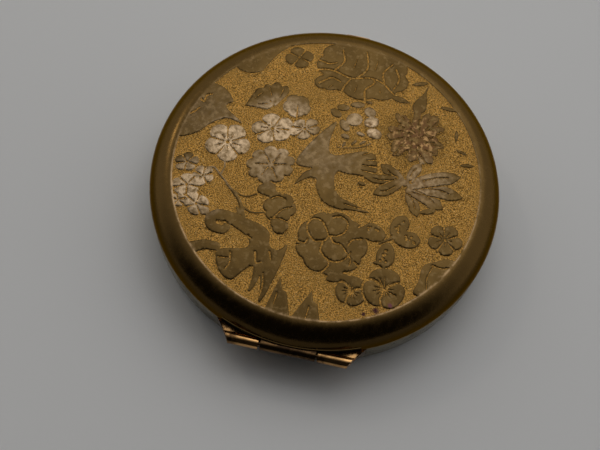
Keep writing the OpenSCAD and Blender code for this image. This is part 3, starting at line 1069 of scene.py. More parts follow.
@dataclass
class Garden:
    """The flowers, leaves, birds and butterfly of the lid: some from rules, some from drawn outlines.

    Attributes:
        art: The artwork that they are drawn on.
    """

    art: Artwork
    seed: int = 5

    def __post_init__(self) -> None:
        """Start the random numbers."""
        self.rng = np.random.default_rng(self.seed)

    def leaf(self, base: Point, turn: float, length: float, width: float, veins: int = 0) -> None:
        """Draw a pointed leaf with a middle vein.

        Args:
            base: Where its stalk is.
            turn: Its direction in degrees.
            length: Its length.
            width: Its width.
            veins: Number of side veins on each side.
        """
        self.art.raise_shape(moved(petal(length, width, 0.1, point=0.22 * length), base, turn))
        if veins:
            self.art.cut_line(moved([(0.2 * length, 0), (0.8 * length, 0)], base, turn), 0.2, 0.12)
        for k in range(veins):
            u = length * (0.3 + 0.4 * k / veins)
            for side in (-1, 1):
                tip = (u + 0.16 * length, side * 0.28 * width)
                self.art.cut_line(moved([(u, 0), tip], base, turn), 0.14, 0.1)

    def fan(self, base: Point, turn: float, length: float, spread: float, scallops: int = 4) -> None:
        """Draw a fan-shaped leaf with a scalloped edge.

        Args:
            base: Where its stalk is.
            turn: Its direction in degrees.
            length: Its length.
            spread: Its opening angle in degrees.
            scallops: Number of scallops along its edge.
        """
        edge = []
        for t in np.linspace(-1, 1, 8 * scallops + 1):
            wave = abs(sin(0.5 * pi * scallops * (t + 1)))
            reach = length * (0.86 + 0.14 * wave) * (1 - 0.12 * t * t)
            a = radians(0.5 * spread * t)
            edge.append((reach * cos(a), reach * sin(a)))
        self.art.raise_shape(moved([(0, 0)] + edge, base, turn))
        for t in np.linspace(-0.5, 0.5, scallops - 1):
            a = radians(0.5 * spread * t)
            line = [(0.45 * length * cos(a), 0.45 * length * sin(a)),
                    (0.78 * length * cos(a), 0.78 * length * sin(a))]
            self.art.cut_line(moved(line, base, turn), 0.1, 0.16)

    def blossom(self, centre: Point, radius: float, petals: int = 5, start: float = 0.0,
                squash: float = 1.0, tilt: float = 0.0, rays: int = 0) -> None:
        """Draw an open flower of broad petals that touch.

        Args:
            centre: Its centre.
            radius: Its radius.
            petals: Number of petals.
            start: Direction of the first gap in degrees.
            squash: Its height as a share of its width.
            tilt: Turn of the squashed flower in degrees.
            rays: Number of fine rays etched on each petal.
        """
        self.art.raise_shape(moved(lobed(radius, petals, 0.3, start, squash), centre, tilt))
        for k in range(petals):
            turn = radians(start + 360 * k / petals)
            gap = [(r * cos(turn), squash * r * sin(turn)) for r in (0.18 * radius, 0.84 * radius)]
            self.art.cut_line(moved(gap, centre, tilt), 0.14, 0.34)
            for j in range(rays):
                off = turn + radians(360 / petals * (j + 1) / (rays + 1))
                near, far = 0.22 * radius, radius * self.rng.uniform(0.4, 0.62)
                ray = [(r * cos(off), squash * r * sin(off)) for r in (near, far)]
                self.art.cut_line(moved(ray, centre, tilt), 0.16, 0.08)
        self.art.cut_shape(disc(0.09 * radius, centre, 8))

    def peony(self, centre: Point, radius: float) -> None:
        """Draw a full flower whose petals are told apart by curling etched lines.

        Args:
            centre: Its centre.
            radius: Its radius.
        """
        self.art.raise_shape(moved(lobed(radius, 9, 0.1, 15, 0.96), centre, 8))
        curls = ([(-0.72, 0.2), (-0.76, 0.42), (-0.62, 0.62), (-0.38, 0.58), (-0.22, 0.38), (-0.12, 0.2)],
                 [(-0.1, 0.76), (0.1, 0.83), (0.32, 0.68), (0.3, 0.42), (0.14, 0.26), (-0.1, 0.2)],
                 [(-0.72, 0.2), (-0.48, -0.03), (-0.2, 0.04), (-0.1, 0.2), (0.05, 0.03), (0.26, 0.01),
                  (0.4, -0.13), (0.58, -0.32), (0.6, -0.54)],
                 [(-0.24, -0.04), (-0.26, -0.28), (0.0, -0.5), (0.26, -0.5), (0.46, -0.36), (0.56, -0.16)],
                 [(0.78, 0.3), (0.54, 0.22), (0.45, 0.02)], [(-0.12, -0.9), (0.03, -0.68), (0.02, -0.52)],
                 [(-0.98, -0.12), (-0.74, -0.16), (-0.66, -0.02)], [(0.86, -0.5), (0.7, -0.4)])
        for line in curls:
            self.art.cut_line(moved(smooth_line(line), centre, 0, radius), 0.34, 0.24)
        for where in (110, 45, 195):
            self.art.cut_line(moved([(0.88, 0.0), (1.02, 0.0)], centre, where, radius), 0.14, 0.4)

    def chrysanthemum(self, centre: Point, radius: float) -> None:
        """Draw a shaggy flower of narrow petals.

        Args:
            centre: Its centre.
            radius: Its radius.
        """
        self.art.raise_shape(moved(lobed(0.62 * radius, 7, 0.12), centre))
        for inner, outer, count in ((0.54, 1.04, 15), (0.34, 0.74, 12), (0.06, 0.44, 8)):
            for k in range(count):
                turn = 360 * k / count + self.rng.uniform(-9, 9)
                length = (outer - inner) * radius * self.rng.uniform(0.75, 1.3)
                base = moved([(inner * radius, 0)], centre, turn)[0]
                width = 0.95 * TAU * outer * radius / count * self.rng.uniform(0.75, 1.1)
                line = moved(petal(length, width, 0.3, point=0.25), base, turn + self.rng.uniform(-14, 14))
                self.art.raise_shape(line)
                edge = moved([(0.1 * length, -0.36 * width), (0.8 * length, -0.3 * width)], base, turn)
                self.art.cut_line(edge, 0.12, 0.2)

    def star(self, centre: Point) -> None:
        """Draw a half-open flower of long separate petals.

        Args:
            centre: Where its petals meet.
        """
        for turn, start, length, width in ((152, 0.3, 5.4, 3.2), (184, 1.6, 6.2, 2.6), (214, 0.7, 5.8, 3.1),
                                           (-62, 1.2, 6.0, 2.9), (-26, 0.5, 8.2, 3.9), (-3, 1.6, 9.6, 3.6),
                                           (20, 1.2, 9.6, 3.7), (64, 0.7, 4.4, 2.6)):
            base = moved([(start, 0)], centre, turn)[0]
            self.art.raise_shape(moved(petal(length, width, 0.35, point=0.5), base, turn))
            vein = smooth_line([(0.25 * length, 0), (0.55 * length, 0.09 * width), (0.8 * length, 0)])
            self.art.cut_line(moved(vein, base, turn), 0.18, 0.1)
            side = moved([(0.0, -0.46 * width), (0.7 * length, -0.4 * width)], base, turn)
            self.art.cut_line(side, 0.1, 0.24)
        self.art.raise_shape(moved(lobed(0.8, 5, 0.2), centre))

    def pansy(self, centre: Point, radius: float, turn: float) -> None:
        """Draw a pansy of three broad petals with fine rays.

        Args:
            centre: Its centre.
            radius: Its radius.
            turn: Direction of its upper petal in degrees.
        """
        for off, wide, deep in ((0, 1.0, 0.8), (118, 0.9, 0.72), (-124, 0.95, 0.72)):
            middle = moved([(0.5 * radius, 0)], centre, turn + off)[0]
            oval = [(deep * 0.62 * u, wide * 0.74 * v) for u, v in disc(radius)]
            outline = moved(oval, middle, turn + off)
            self.art.cut_line(outline + outline[:1], 0.42)
            self.art.raise_shape(moved([(0.93 * u, 0.93 * v) for u, v in oval], middle, turn + off))
        for k in range(13):
            ray = [(0.12 * radius, 0), (self.rng.uniform(0.35, 0.62) * radius, 0.03)]
            self.art.cut_line(moved(ray, centre, turn + 27 * k), 0.18, 0.08)

    def butterfly(self, centre: Point, turn: float, size: float) -> None:
        """Draw a butterfly with spotted wings.

        Args:
            centre: Its centre.
            turn: Direction of its head in degrees.
            size: Half its wingspan.
        """
        for off, length, width in ((28, 0.9, 0.7), (-28, 0.92, 0.72), (132, 0.88, 0.76), (-130, 0.95, 0.74)):
            base = moved([(0.14 * size, 0)], centre, turn + off)[0]
            wing = petal(length * size, width * size, 0.25, point=0.1)
            self.art.raise_shape(moved(wing, base, turn + off))
            for _ in range(7):
                spot = (self.rng.uniform(0.25, 0.8) * length * size,
                        self.rng.uniform(-0.2, 0.2) * width * size)
                spot = moved([spot], base, turn + off)[0]
                self.art.cut_shape(disc(self.rng.uniform(0.03, 0.06) * size, spot, 7))
        self.art.raise_line(moved([(-0.4, 0), (0.34, 0)], centre, turn, size), 0.4, 0.75)

    def swallow(self) -> None:
        """Draw the bird that flies across the middle."""
        outline = [(-5.8, -3.8), (-4.6, -0.9), (-3.1, 0.5), (-5.4, 0.4), (-6.5, 1.2), (-5.6, 4.0),
                   (-3.4, 8.0), (-0.4, 12.0), (-0.8, 8.2), (-0.6, 5.2), (1.0, 4.4), (3.6, 5.5),
                   (6.4, 6.6), (8.5, 6.2), (9.2, 4.6), (9.5, 3.0), (8.6, 1.4), (4.2, 0.9),
                   (1.8, 0.8), (1.9, -2.0), (3.4, -4.2), (6.4, -5.2), (9.8, -6.4), (6.2, -6.7),
                   (3.1, -7.0), (0.2, -6.0), (-1.5, -3.4), (-1.9, -1.6), (-3.8, -2.0)]
        self.art.raise_shape(smooth_line(outline, True, 4))
        for start, end, width in (((9.8, 5.4), (7.0, 4.6), 0.36), ((10.0, 3.7), (6.4, 3.4), 0.34),
                                  ((9.6, 2.2), (6.4, 2.3), 0.3), ((8.0, 6.9), (6.0, 5.6), 0.26)):
            self.art.cut_line([start, end], width, 0.12)
        self.art.cut_line(smooth_line([(9.8, -5.9), (6.8, -5.9), (4.4, -5.6)]), 0.3, 0.12)
        self.art.cut_line(smooth_line([(2.2, -3.0), (3.8, -3.4), (4.6, -2.9)]), 0.3, 0.2)

    def phoenix(self) -> None:
        """Draw the long-tailed bird at the lower left."""
        body = [(-4.3, -16.5), (-5.8, -17.9), (-7.6, -17.4), (-8.2, -14.9), (-10.0, -13.6), (-13.2, -12.9),
                (-15.6, -13.0), (-15.6, -14.9), (-13.4, -15.9), (-11.7, -17.3), (-12.2, -18.9),
                (-16.9, -20.2),
                (-16.8, -22.9), (-15.2, -25.1), (-13.2, -25.8), (-11.6, -23.8), (-10.0, -22.2),
                (-8.2, -23.4), (-7.4, -26.2), (-6.0, -25.6), (-4.9, -21.6)]
        self.art.raise_shape(smooth_line(body, True, 4))
        plumes = (([(-12.6, -14.8), (-15.6, -13.6), (-18.4, -13.3), (-19.9, -14.4), (-19.3, -15.9),
                    (-17.2, -16.2), (-16.6, -15.4)], 2.8, 1.6),
                  ([(-15.4, -13.4), (-15.0, -12.0), (-15.6, -11.0)], 1.2, 0.4),
                  ([(-17.6, -19.8), (-19.8, -19.9), (-21.9, -20.9)], 1.8, 2.4),
                  ([(-7.0, -22.4), (-6.6, -25.6), (-7.1, -28.6)], 2.6, 0.6),
                  ([(-8.8, -22.2), (-8.9, -25.0), (-9.4, -27.0)], 1.7, 0.6))
        for line, start, end in plumes:
            self.art.raise_line(smooth_line(line), start, end)
        cuts = (([(-14.6, -20.4), (-14.3, -22.4), (-14.9, -24.0)], 0.3, 0.14),
                ([(-10.0, -19.4), (-9.4, -21.4), (-8.4, -21.0)], 0.4, 0.2),
                ([(-7.4, -18.6), (-6.8, -20.2)], 0.3, 0.2),
                ([(-7.6, -23.2), (-7.2, -26.0), (-7.6, -28.6)], 0.14, 0.4),
                ([(-16.2, -14.9), (-17.2, -14.5), (-18.2, -14.8)], 0.16, 0.3),
                ([(-12.4, -16.4), (-11.4, -16.8)], 0.4, 0.16),
                ([(-16.6, -21.8), (-14.8, -21.6)], 0.26, 0.1))
        for line, start, end in cuts:
            self.art.cut_line(smooth_line(line), start, end)

    def rose(self) -> None:
        """Draw the large rose that the far edge cuts."""
        self.art.raise_shape(moved(lobed(1.0, 9, 0.13, 12, 0.72), (2.6, 25.0), -4, 9.8))
        self.art.raise_shape(moved(lobed(3.2, 3, 0.2, 0, 0.7), (-3.6, 20.8), 20))
        curves = ([(-7.0, 23.0), (-3.6, 23.6), (0.6, 22.6), (4.6, 23.6), (7.4, 22.8)],
                  [(-1.0, 18.0), (-0.4, 20.6), (0.6, 22.6)],
                  [(4.4, 17.8), (3.8, 20.4), (5.4, 22.6), (4.6, 23.6)],
                  [(-3.2, 23.6), (-1.6, 26.2), (-2.4, 29.0)], [(1.6, 22.8), (3.4, 25.6), (2.6, 29.6)],
                  [(7.4, 22.8), (6.8, 25.4), (8.4, 28.0)], [(7.4, 22.8), (10.0, 20.6)],
                  [(9.2, 26.8), (10.2, 24.6), (9.4, 21.8)], [(-5.6, 20.0), (-3.4, 21.8), (-1.4, 21.2)],
                  [(-6.6, 25.4), (-4.6, 25.0), (-3.0, 25.6)])
        for line in curves:
            self.art.cut_line(smooth_line(line), 0.4, 0.26)
        for line in ([(-3.6, 19.2), (-2.8, 20.2)], [(0.6, 25.2), (0.9, 27.6)], [(5.0, 25.6), (5.2, 28.0)],
                     [(1.8, 19.6), (2.0, 21.2)], [(7.0, 20.4), (6.6, 21.6)]):
            self.art.cut_line(line, 0.14, 0.1)
        self.leaf((9.4, 20.2), -8, 3.4, 1.5)

    def sprigs(self) -> None:
        """Draw the stems, the small blossoms at the left and the broad leaf below the bird."""
        self.art.raise_line(smooth_line([(-25.0, -6.9), (-22.4, -3.6), (-20.2, -5.0), (-17.4, -7.4),
                                         (-14.6, -8.4), (-12.4, -7.4)]), 0.45, 0.34)
        self.art.raise_line(smooth_line([(-18.6, -6.6), (-15.4, -9.6), (-13.2, -14.4)]), 0.5, 1.0)
        self.art.raise_line(smooth_line([(-14.6, -10.6), (-12.6, -11.4), (-10.2, -10.9)]), 0.5, 0.34)
        self.art.raise_line(smooth_line([(-20.6, -0.8), (-19.9, -3.0), (-20.4, -5.0)]), 0.3, 0.4)
        for u, v, radius, squash, tilt in ((-27.4, -3.6, 2.5, 0.85, 30), (-23.6, -5.8, 2.4, 0.9, 60),
                                           (-26.2, -8.4, 3.0, 0.8, 15), (-23.4, -12.0, 3.2, 0.72, -30),
                                           (-27.0, -12.0, 1.8, 0.8, 0)):
            self.blossom((u, v), radius, 5, 20 * u, squash, tilt)
        self.art.raise_shape(moved(lobed(2.1, 3, 0.28, 20, 0.8), (-10.6, -6.0)))
        self.art.raise_shape(moved(lobed(3.3, 6, 0.16, 10, 1.0), (-7.5, -9.2), 20))
        self.art.raise_shape(moved(lobed(1.9, 3, 0.2, 0, 0.9), (-6.7, -13.0), -30))
        for line in ([(-9.6, -7.9), (-8.2, -7.0), (-6.6, -7.4)], [(-8.2, -11.6), (-6.9, -9.6), (-5.0, -8.6)],
                     [(-8.6, -11.9), (-7.2, -11.5), (-5.0, -12.0)]):
            self.art.cut_line(smooth_line(line), 0.24, 0.14)

    def scatter(self) -> None:
        """Draw the separate petals, leaves and buds that fill the ground."""
        ovals = ((-0.9, 13.8, 1.3, 0.9, -30), (0.3, 15.4, 1.3, 0.8, 10), (3.0, 16.7, 1.5, 0.7, 12),
                 (5.8, 15.6, 1.3, 1.1, -30), (3.0, 13.2, 1.7, 1.5, 30), (1.3, 11.4, 1.5, 0.9, -50),
                 (6.5, 13.4, 1.6, 1.2, 30), (7.5, 10.9, 1.6, 1.2, -10), (4.8, 10.2, 0.9, 0.5, -10),
                 (1.9, 9.0, 0.9, 0.6, -10), (2.0, 7.2, 0.7, 0.3, 70), (3.9, 8.0, 0.8, 0.3, 55),
                 (5.6, 8.4, 0.8, 0.3, 45), (5.2, 17.8, 0.7, 0.4, 0))
        for u, v, long, wide, turn in ovals:
            oval = [(long * cos(a), wide * sin(a)) for a in np.linspace(0, TAU, 16)]
            self.art.raise_shape(moved(oval, (u, v), turn))
        self.art.raise_line(smooth_line([(0.6, 6.2), (3.2, 6.6), (5.6, 7.4), (7.2, 8.6)]), 0.16, 0.3)
        self.leaf((6.2, -0.5), -5, 1.6, 1.0)
        self.leaf((22.2, -3.0), 200, 3.0, 1.3)
        bud = [(16.5, 24.9), (15.6, 22.4), (14.2, 20.2), (14.0, 18.6), (15.0, 17.6), (16.6, 18.4),
               (16.7, 20.6), (16.3, 22.6)]
        self.art.raise_shape(smooth_line(bud, True))
        self.leaf((16.2, 25.2), 200, 3.0, 1.1)
        for u, v, turn, length in ((19.6, 20.2, -2, 3.0), (16.8, 16.9, 22, 2.6), (23.6, 15.6, -85, 2.4),
                                   (24.2, 11.2, -14, 2.2), (25.4, 8.0, 10, 2.6), (12.2, -16.4, 12, 3.0)):
            self.leaf((u, v), turn, length, 0.34 * length)
        for peak, left, right in (((-4.3, -23.0), (-6.0, -30.6), (-0.9, -30.6)),
                                  ((2.1, -24.4), (-1.0, -31.0), (5.0, -31.0))):
            ear = (0.45 * peak[0] + 0.55 * right[0], 0.62 * peak[1] + 0.38 * right[1])
            self.art.raise_shape([peak, left, right, ear, (ear[0] - 0.9, ear[1] + 0.4)])
            self.art.cut_line([(peak[0] + 0.1, peak[1] - 3.4), (peak[0] - 0.1, peak[1] - 5.6)], 0.22, 0.14)

    def border(self) -> None:
        """Draw the work that runs off into the plain shoulder."""
        wing = [(-32.0, 4.8), (-30.6, 1.6), (-27.2, 3.0), (-24.8, 5.8), (-22.0, 7.6), (-18.8, 7.2),
                (-22.8, 10.2), (-21.6, 11.8), (-24.0, 14.4), (-26.8, 15.2), (-29.0, 16.0), (-32.0, 9.0)]
        self.art.raise_shape(smooth_line(wing, True, 4))
        self.art.cut_line(smooth_line([(-28.6, 11.2), (-27.4, 10.4), (-27.2, 11.8), (-26.2, 12.4)]), 0.5, 0.3)
        self.art.cut_line(smooth_line([(-29.8, 7.0), (-28.8, 7.6), (-27.9, 8.8)]), 0.4, 0.3)
        dark = [(-22.6, 19.6), (-19.8, 19.0), (-17.6, 20.0), (-16.6, 22.0), (-15.2, 24.8), (-13.0, 28.0),
                (-18.0, 28.0), (-23.6, 23.0)]
        self.art.raise_shape(smooth_line(dark, True, 4))
        self.blossom((25.0, -8.6), 3.5, 5, 30, 0.95, 0, 1)
        self.art.raise_shape(smooth_line([(21.8, -14.8), (21.4, -18.0), (21.0, -21.0), (27.0, -20.0),
                                          (30.0, -13.6), (26.4, -12.4), (24.4, -13.2)], True))
        self.art.cut_line(smooth_line([(23.6, -14.6), (22.9, -17.2), (23.2, -19.6)]), 0.2, 0.12)
        self.art.cut_line(smooth_line([(23.4, -14.4), (25.4, -14.6), (27.0, -14.0)]), 0.26, 0.16)
        self.blossom((-10.8, 25.0), 3.0, 4, 60, 0.86, 10)

    def draw(self, edge: float) -> None:
        """Draw the whole picture.

        Args:
            edge: Radius beyond which the metal is plain and polished.
        """
        self.border()
        self.rose()
        self.chrysanthemum((15.6, 12.0), 5.8)
        self.star((15.4, 1.6))
        self.blossom((-20.6, 2.4), 4.6, 5, 20, 0.96, 10, 1)
        self.blossom((-12.6, 7.4), 4.3, 5, 50, 0.8, 25, 1)
        self.blossom((-6.3, 8.8), 3.3, 5, 0, 0.72, 30, 1)
        self.art.raise_shape(moved(lobed(4.9, 9, 0.2, 100, 0.84), (-11.2, -0.6), 25))
        for turn in (10, 60, 125, 185, 240, 300):
            self.art.cut_line(moved([(0.6, 0), (0.62 * 4.9, 0.2)], (-11.2, -0.6), turn), 0.2, 0.12)
        self.fan((-19.2, 11.3), 36, 6.0, 70, 3)
        self.fan((-13.2, 12.4), 98, 5.8, 74, 3)
        self.art.raise_shape(moved(lobed(2.9, 5, 0.2, 20, 0.95), (-8.9, 13.6)))
        self.art.cut_line([(-8.4, 11.0), (-8.8, 13.8)], 0.3, 0.14)
        self.sprigs()
        self.scatter()
        self.pansy((9.3, -23.0), 3.3, 84)
        self.pansy((15.3, -21.2), 4.4, 96)
        self.peony((3.8, -14.3), 7.0)
        self.leaf((4.2, -21.7), 24, 3.6, 2.0)
        self.butterfly((14.5, -10.9), 38, 5.6)
        self.phoenix()
        self.swallow()
        u, v = np.meshgrid(self.art.axis, self.art.axis)
        self.art.depth = np.maximum(self.art.depth, np.hypot(u, v) - edge)
        for centre, radius, amount in (((-20.4, 2.6), 6.5, 1.0), ((-11.0, 7.8), 8.5, 0.9),
                                       ((-24.5, -8.5), 7.5, 0.9), ((-11.4, -0.4), 6.0, 0.3),
                                       ((5.0, 12.5), 5.5, 0.5), ((19.0, 3.0), 6.5, 0.3),
                                       ((6.9, 12.2), 2.8, 0.9), ((-1.0, 5.0), 9.0, 0.14),
                                       ((-26.0, 8.0), 8.0, 0.1)):
            self.art.shade(self.art.rubbed, centre, radius, amount)
        for centre, radius, amount in (((15.8, 12.2), 7.5, 1.0), ((17.3, 1.2), 5.5, 0.25),
                                       ((7.0, 12.0), 2.6, 0.5)):
            self.art.shade(self.art.deep, centre, radius, amount)


# ---------------------------------------------------------------- the lid


@dataclass
class LidShell:
    """The pressed lid with its etched top.

    Attributes:
        relief: Height of the polished work above the etched ground.
        bevel: Half width of the slope between the two.
        spacing: Spacing of the vertices along the edges of the work.
        sheet: Thickness of the sheet.
        roll: Radius of the rolled lower edge.
        notch_half: Half width of the notch over the hinge.
        rise: How much higher the middle of the top is than its edge.
        shoulder: Radius of the shoulder.
        pitch: Spacing of the vertices away from the edges of the work.
        crown: How much higher the middle of a motif is than its edge.
        rough: Height of the ground's stipple.
        ridge: Height of the crumples on the rubbed and deep flowers.
        steps: Number of steps round the shoulder.
    """

    notch_half: float = 13.5
    relief: float = 0.075
    bevel: float = 0.05
    spacing: float = 0.13
    sheet: float = 0.5
    roll: float = 0.25
    rise: float = 0.35
    shoulder: float = 4.6
    pitch: float = 0.36
    crown: float = 0.02
    rough: float = 0.03
    ridge: float = 0.022
    steps: int = 600
    seed: int = 7

    def __post_init__(self) -> None:
        """Read the lid's outside sizes from the frame."""
        low, high = box_mm("lid_shell")
        self.radius = high.x
        self.low = low.z
        self.top = high.z
        self.hinge = joint_mm("lid_hinge")
        self.barrel = box_mm("lid_hinge_leaf")[1].y - self.hinge.y
        self.crease = self.radius - self.shoulder
        self.centre_z = self.top - self.rise - self.shoulder
        self.notch_top = self.barrel + 0.1

    def surface(self, r: np.ndarray) -> np.ndarray:
        """Give the height of the polished top."""
        return self.top - self.rise * (r / self.crease) ** 2

    def spots(self, art: Artwork) -> np.ndarray:
        """Choose the vertices of the top: dense along the edges of the work, sparse elsewhere.

        Args:
            art: The artwork.

        Returns:
            Rows of u, v.
        """
        rng = np.random.default_rng(self.seed)
        u, v = np.meshgrid(art.axis, art.axis)
        down, across = np.gradient(art.depth, art.step)
        slope = np.maximum(np.hypot(down, across), 0.3)
        near = (np.abs(art.depth) < 0.10) & (np.hypot(u, v) < self.crease - 0.02)
        chosen = []
        for level in (self.bevel, -self.bevel):
            side = near & ((art.depth > 0) == (level > 0))
            shift = (level - art.depth[side]) / slope[side] ** 2
            place = np.stack([u[side] + shift * across[side], v[side] + shift * down[side]], 1)
            chosen.append(self.thinned(place, self.spacing))
        pitch, row = self.pitch, 0.866
        rows = int(2 * self.crease / (pitch * row)) + 2
        cols = int(2 * self.crease / pitch) + 2
        j, i = np.mgrid[0:rows, 0:cols]
        grid = np.stack([(i + 0.5 * (j % 2)) * pitch, j * pitch * row], -1).reshape(-1, 2) - self.crease
        grid += rng.uniform(-0.3, 0.3, grid.shape) * pitch
        depth = art.at(art.depth, grid)
        keep = (np.abs(depth) > 0.17) & (np.hypot(*grid.T) < self.crease - 0.2)
        plain = (depth > 0.8) & (rng.random(len(depth)) > 0.55)
        chosen.append(grid[keep & ~plain])
        return np.vstack(chosen)

    def thinned(self, spots: np.ndarray, gap: float) -> np.ndarray:
        """Keep one spot in each cell of a square grid.

        Args:
            spots: Rows of u, v.
            gap: Size of a cell.

        Returns:
            The spots that stay.
        """
        cell = np.floor(spots / gap).astype(np.int64)
        _, first = np.unique(cell[:, 0] * 100003 + cell[:, 1], return_index=True)
        return spots[np.sort(first)]

    def lower_edge(self, angle: np.ndarray) -> np.ndarray:
        """Give the height of the lower edge, which is cut up over the hinge.

        Args:
            angle: Angles about the axis.

        Returns:
            Its heights.
        """
        x, y = self.radius * np.cos(angle), self.radius * np.sin(angle)
        over = (np.abs(x) < self.notch_half) & (y > 0)
        return np.where(over, self.low + self.notch_top, self.low)

    def wall(self) -> Shape:
        """Make the shoulder, the rolled edge and the inside as one turned skin, open at the top."""
        half = asin(self.notch_half / self.radius)
        angle = stepped(self.steps, (pi / 2 - half, pi / 2 + half), 0.004)
        self.rim_steps = len(angle)
        edge = self.lower_edge(angle)
        inner_r, mid = self.shoulder - self.sheet, self.radius - self.sheet / 2
        rings = []
        for a in np.linspace(pi / 2, 0, 25):
            rings.append((self.crease + self.shoulder * cos(a), self.centre_z + self.shoulder * sin(a)))
        for a in np.linspace(0, pi, 7):
            rings.append((mid + self.roll * cos(a), edge + self.roll * (1 - sin(a))))
        for a in np.linspace(0, pi / 2, 7):
            rings.append((self.crease + inner_r * cos(a), self.centre_z + inner_r * sin(a)))
        for r in (22.0, 12.0, 4.0):
            rings.append((r, self.surface(r) - self.sheet))
        rows = []
        for k, (r, z) in enumerate(rings):
            level = z if 25 <= k < 32 else np.maximum(z, edge + self.roll)
            level = np.broadcast_to(level, angle.shape)
            rows.append(np.stack([r * np.cos(angle), r * np.sin(angle), level], 1))
        n, step = len(angle), np.arange(len(angle))
        faces = []
        for i in range(len(rings) - 1):
            a, b = i * n + step, i * n + (step + 1) % n
            faces += np.stack([a, a + n, b + n, b], 1).tolist()
        last = (len(rings) - 1) * n
        centre = last + n
        faces += [[last + k, centre, last + (k + 1) % n] for k in range(n)]
        return Shape(np.vstack(rows + [[[0, 0, self.top - self.sheet]]]), faces)

    def build(self, maker: Maker) -> bpy.types.Object:
        """Make the lid as one closed mesh and paint its layers.

        Args:
            maker: The maker of pieces.

        Returns:
            The piece.
        """
        art = Artwork(self.crease + 1.0)
        Garden(art).draw(self.crease - 0.12)
        wall = self.wall()
        rim = wall.points[:self.rim_steps]
        spots = self.spots(art)
        ring = -rim[:, :2]
        flat = np.vstack([ring, spots])
        loop = [(i, (i + 1) % self.rim_steps) for i in range(self.rim_steps)]
        found = delaunay_2d_cdt([Vector(p) for p in flat], loop, [], 1, 1e-7)
        uv = np.array([tuple(p) for p in found[0]])
        triangles = [list(t) for t in found[2]]
        rng = np.random.default_rng(self.seed)
        depth = art.at(art.depth, uv)
        share = np.clip(0.5 + depth / (2 * self.bevel), 0, 1)
        share = share * share * (3 - 2 * share)
        crown = self.crown * (1 - np.exp(-np.clip(depth, 0, 3) / 0.5))
        stipple = rng.uniform(-self.rough, self.rough, len(uv)) * (depth < -0.08)
        ridges = rng.uniform(-self.ridge, self.ridge, len(uv)) * (depth > 0.1) * np.maximum(
            art.at(art.rubbed, uv), art.at(art.deep, uv))
        r = np.hypot(uv[:, 0], uv[:, 1])
        on_rim = r > self.crease - 1e-3
        z = self.surface(r) - self.relief * (1 - share) - self.crown + crown + stipple + ridges
        z = np.minimum(z, self.surface(r))
        z[on_rim] = self.surface(r[on_rim])
        top = Shape(np.stack([-uv[:, 0], -uv[:, 1], z], 1), triangles)
        whole = top.joined(wall).merged()
        piece = maker.piece("etched_lid_shell", whole, Body.LID, Slot.ETCHED, "lid_shell", crease=50)
        self.paint(piece, art)
        LOG.info("lid: %d faces", len(piece.data.polygons))
        return piece

    def paint(self, piece: bpy.types.Object, art: Artwork) -> None:
        """Write the layers that the lid's finish reads.

        Args:
            piece: The lid.
            art: The artwork.
        """
        mesh = piece.data
        flat = np.empty(3 * len(mesh.vertices), np.float32)
        mesh.vertices.foreach_get("co", flat)
        place = flat.reshape(-1, 3) / MM
        uv = -place[:, :2]
        r = np.hypot(*uv.T)
        on_top = (r < self.crease + 0.01) & (place[:, 2] > self.top - 0.8)
        depth = np.where(on_top, art.at(art.depth, np.clip(uv, -self.crease, self.crease)), 1.0)
        share = np.clip(0.5 + depth / (2 * self.bevel), 0, 1)
        inside = place[:, 2] < self.surface(np.minimum(r, self.crease)) - 0.45
        inside &= r < self.crease
        layers = {
            "polish": share,
            "rubbed": np.where(on_top, art.at(art.rubbed, uv), 0),
            "deep": np.where(on_top, art.at(art.deep, uv), 0),
            # shoulder: 0 to 1 across the shoulder, rising to 2 down its side, where the finish paints shade
            "shoulder": np.clip((r - self.crease) / 0.8, 0, 1)
            + np.clip((self.top - 1.2 - place[:, 2]) / 2.0, 0, 1) * (r > self.crease),
            # edge: the crease line, partly wear and partly a painted highlight, fading towards the far side
            "edge": np.exp(-((r - self.crease) / 0.16) ** 2) * ~inside
            * np.clip(0.55 - uv[:, 1] / 30, 0.12, 1),
            # rim: the rolled lower edge, where the finish paints a highlight
            "rim": np.exp(-((place[:, 2] - self.low - 0.12) / 0.2) ** 2) * (r > self.radius - 0.45),
        }
        for name, values in layers.items():
            made = mesh.attributes.new(name, "FLOAT", "POINT")
            made.data.foreach_set("value", np.asarray(values, np.float32))


# ---------------------------------------------------------------- the base


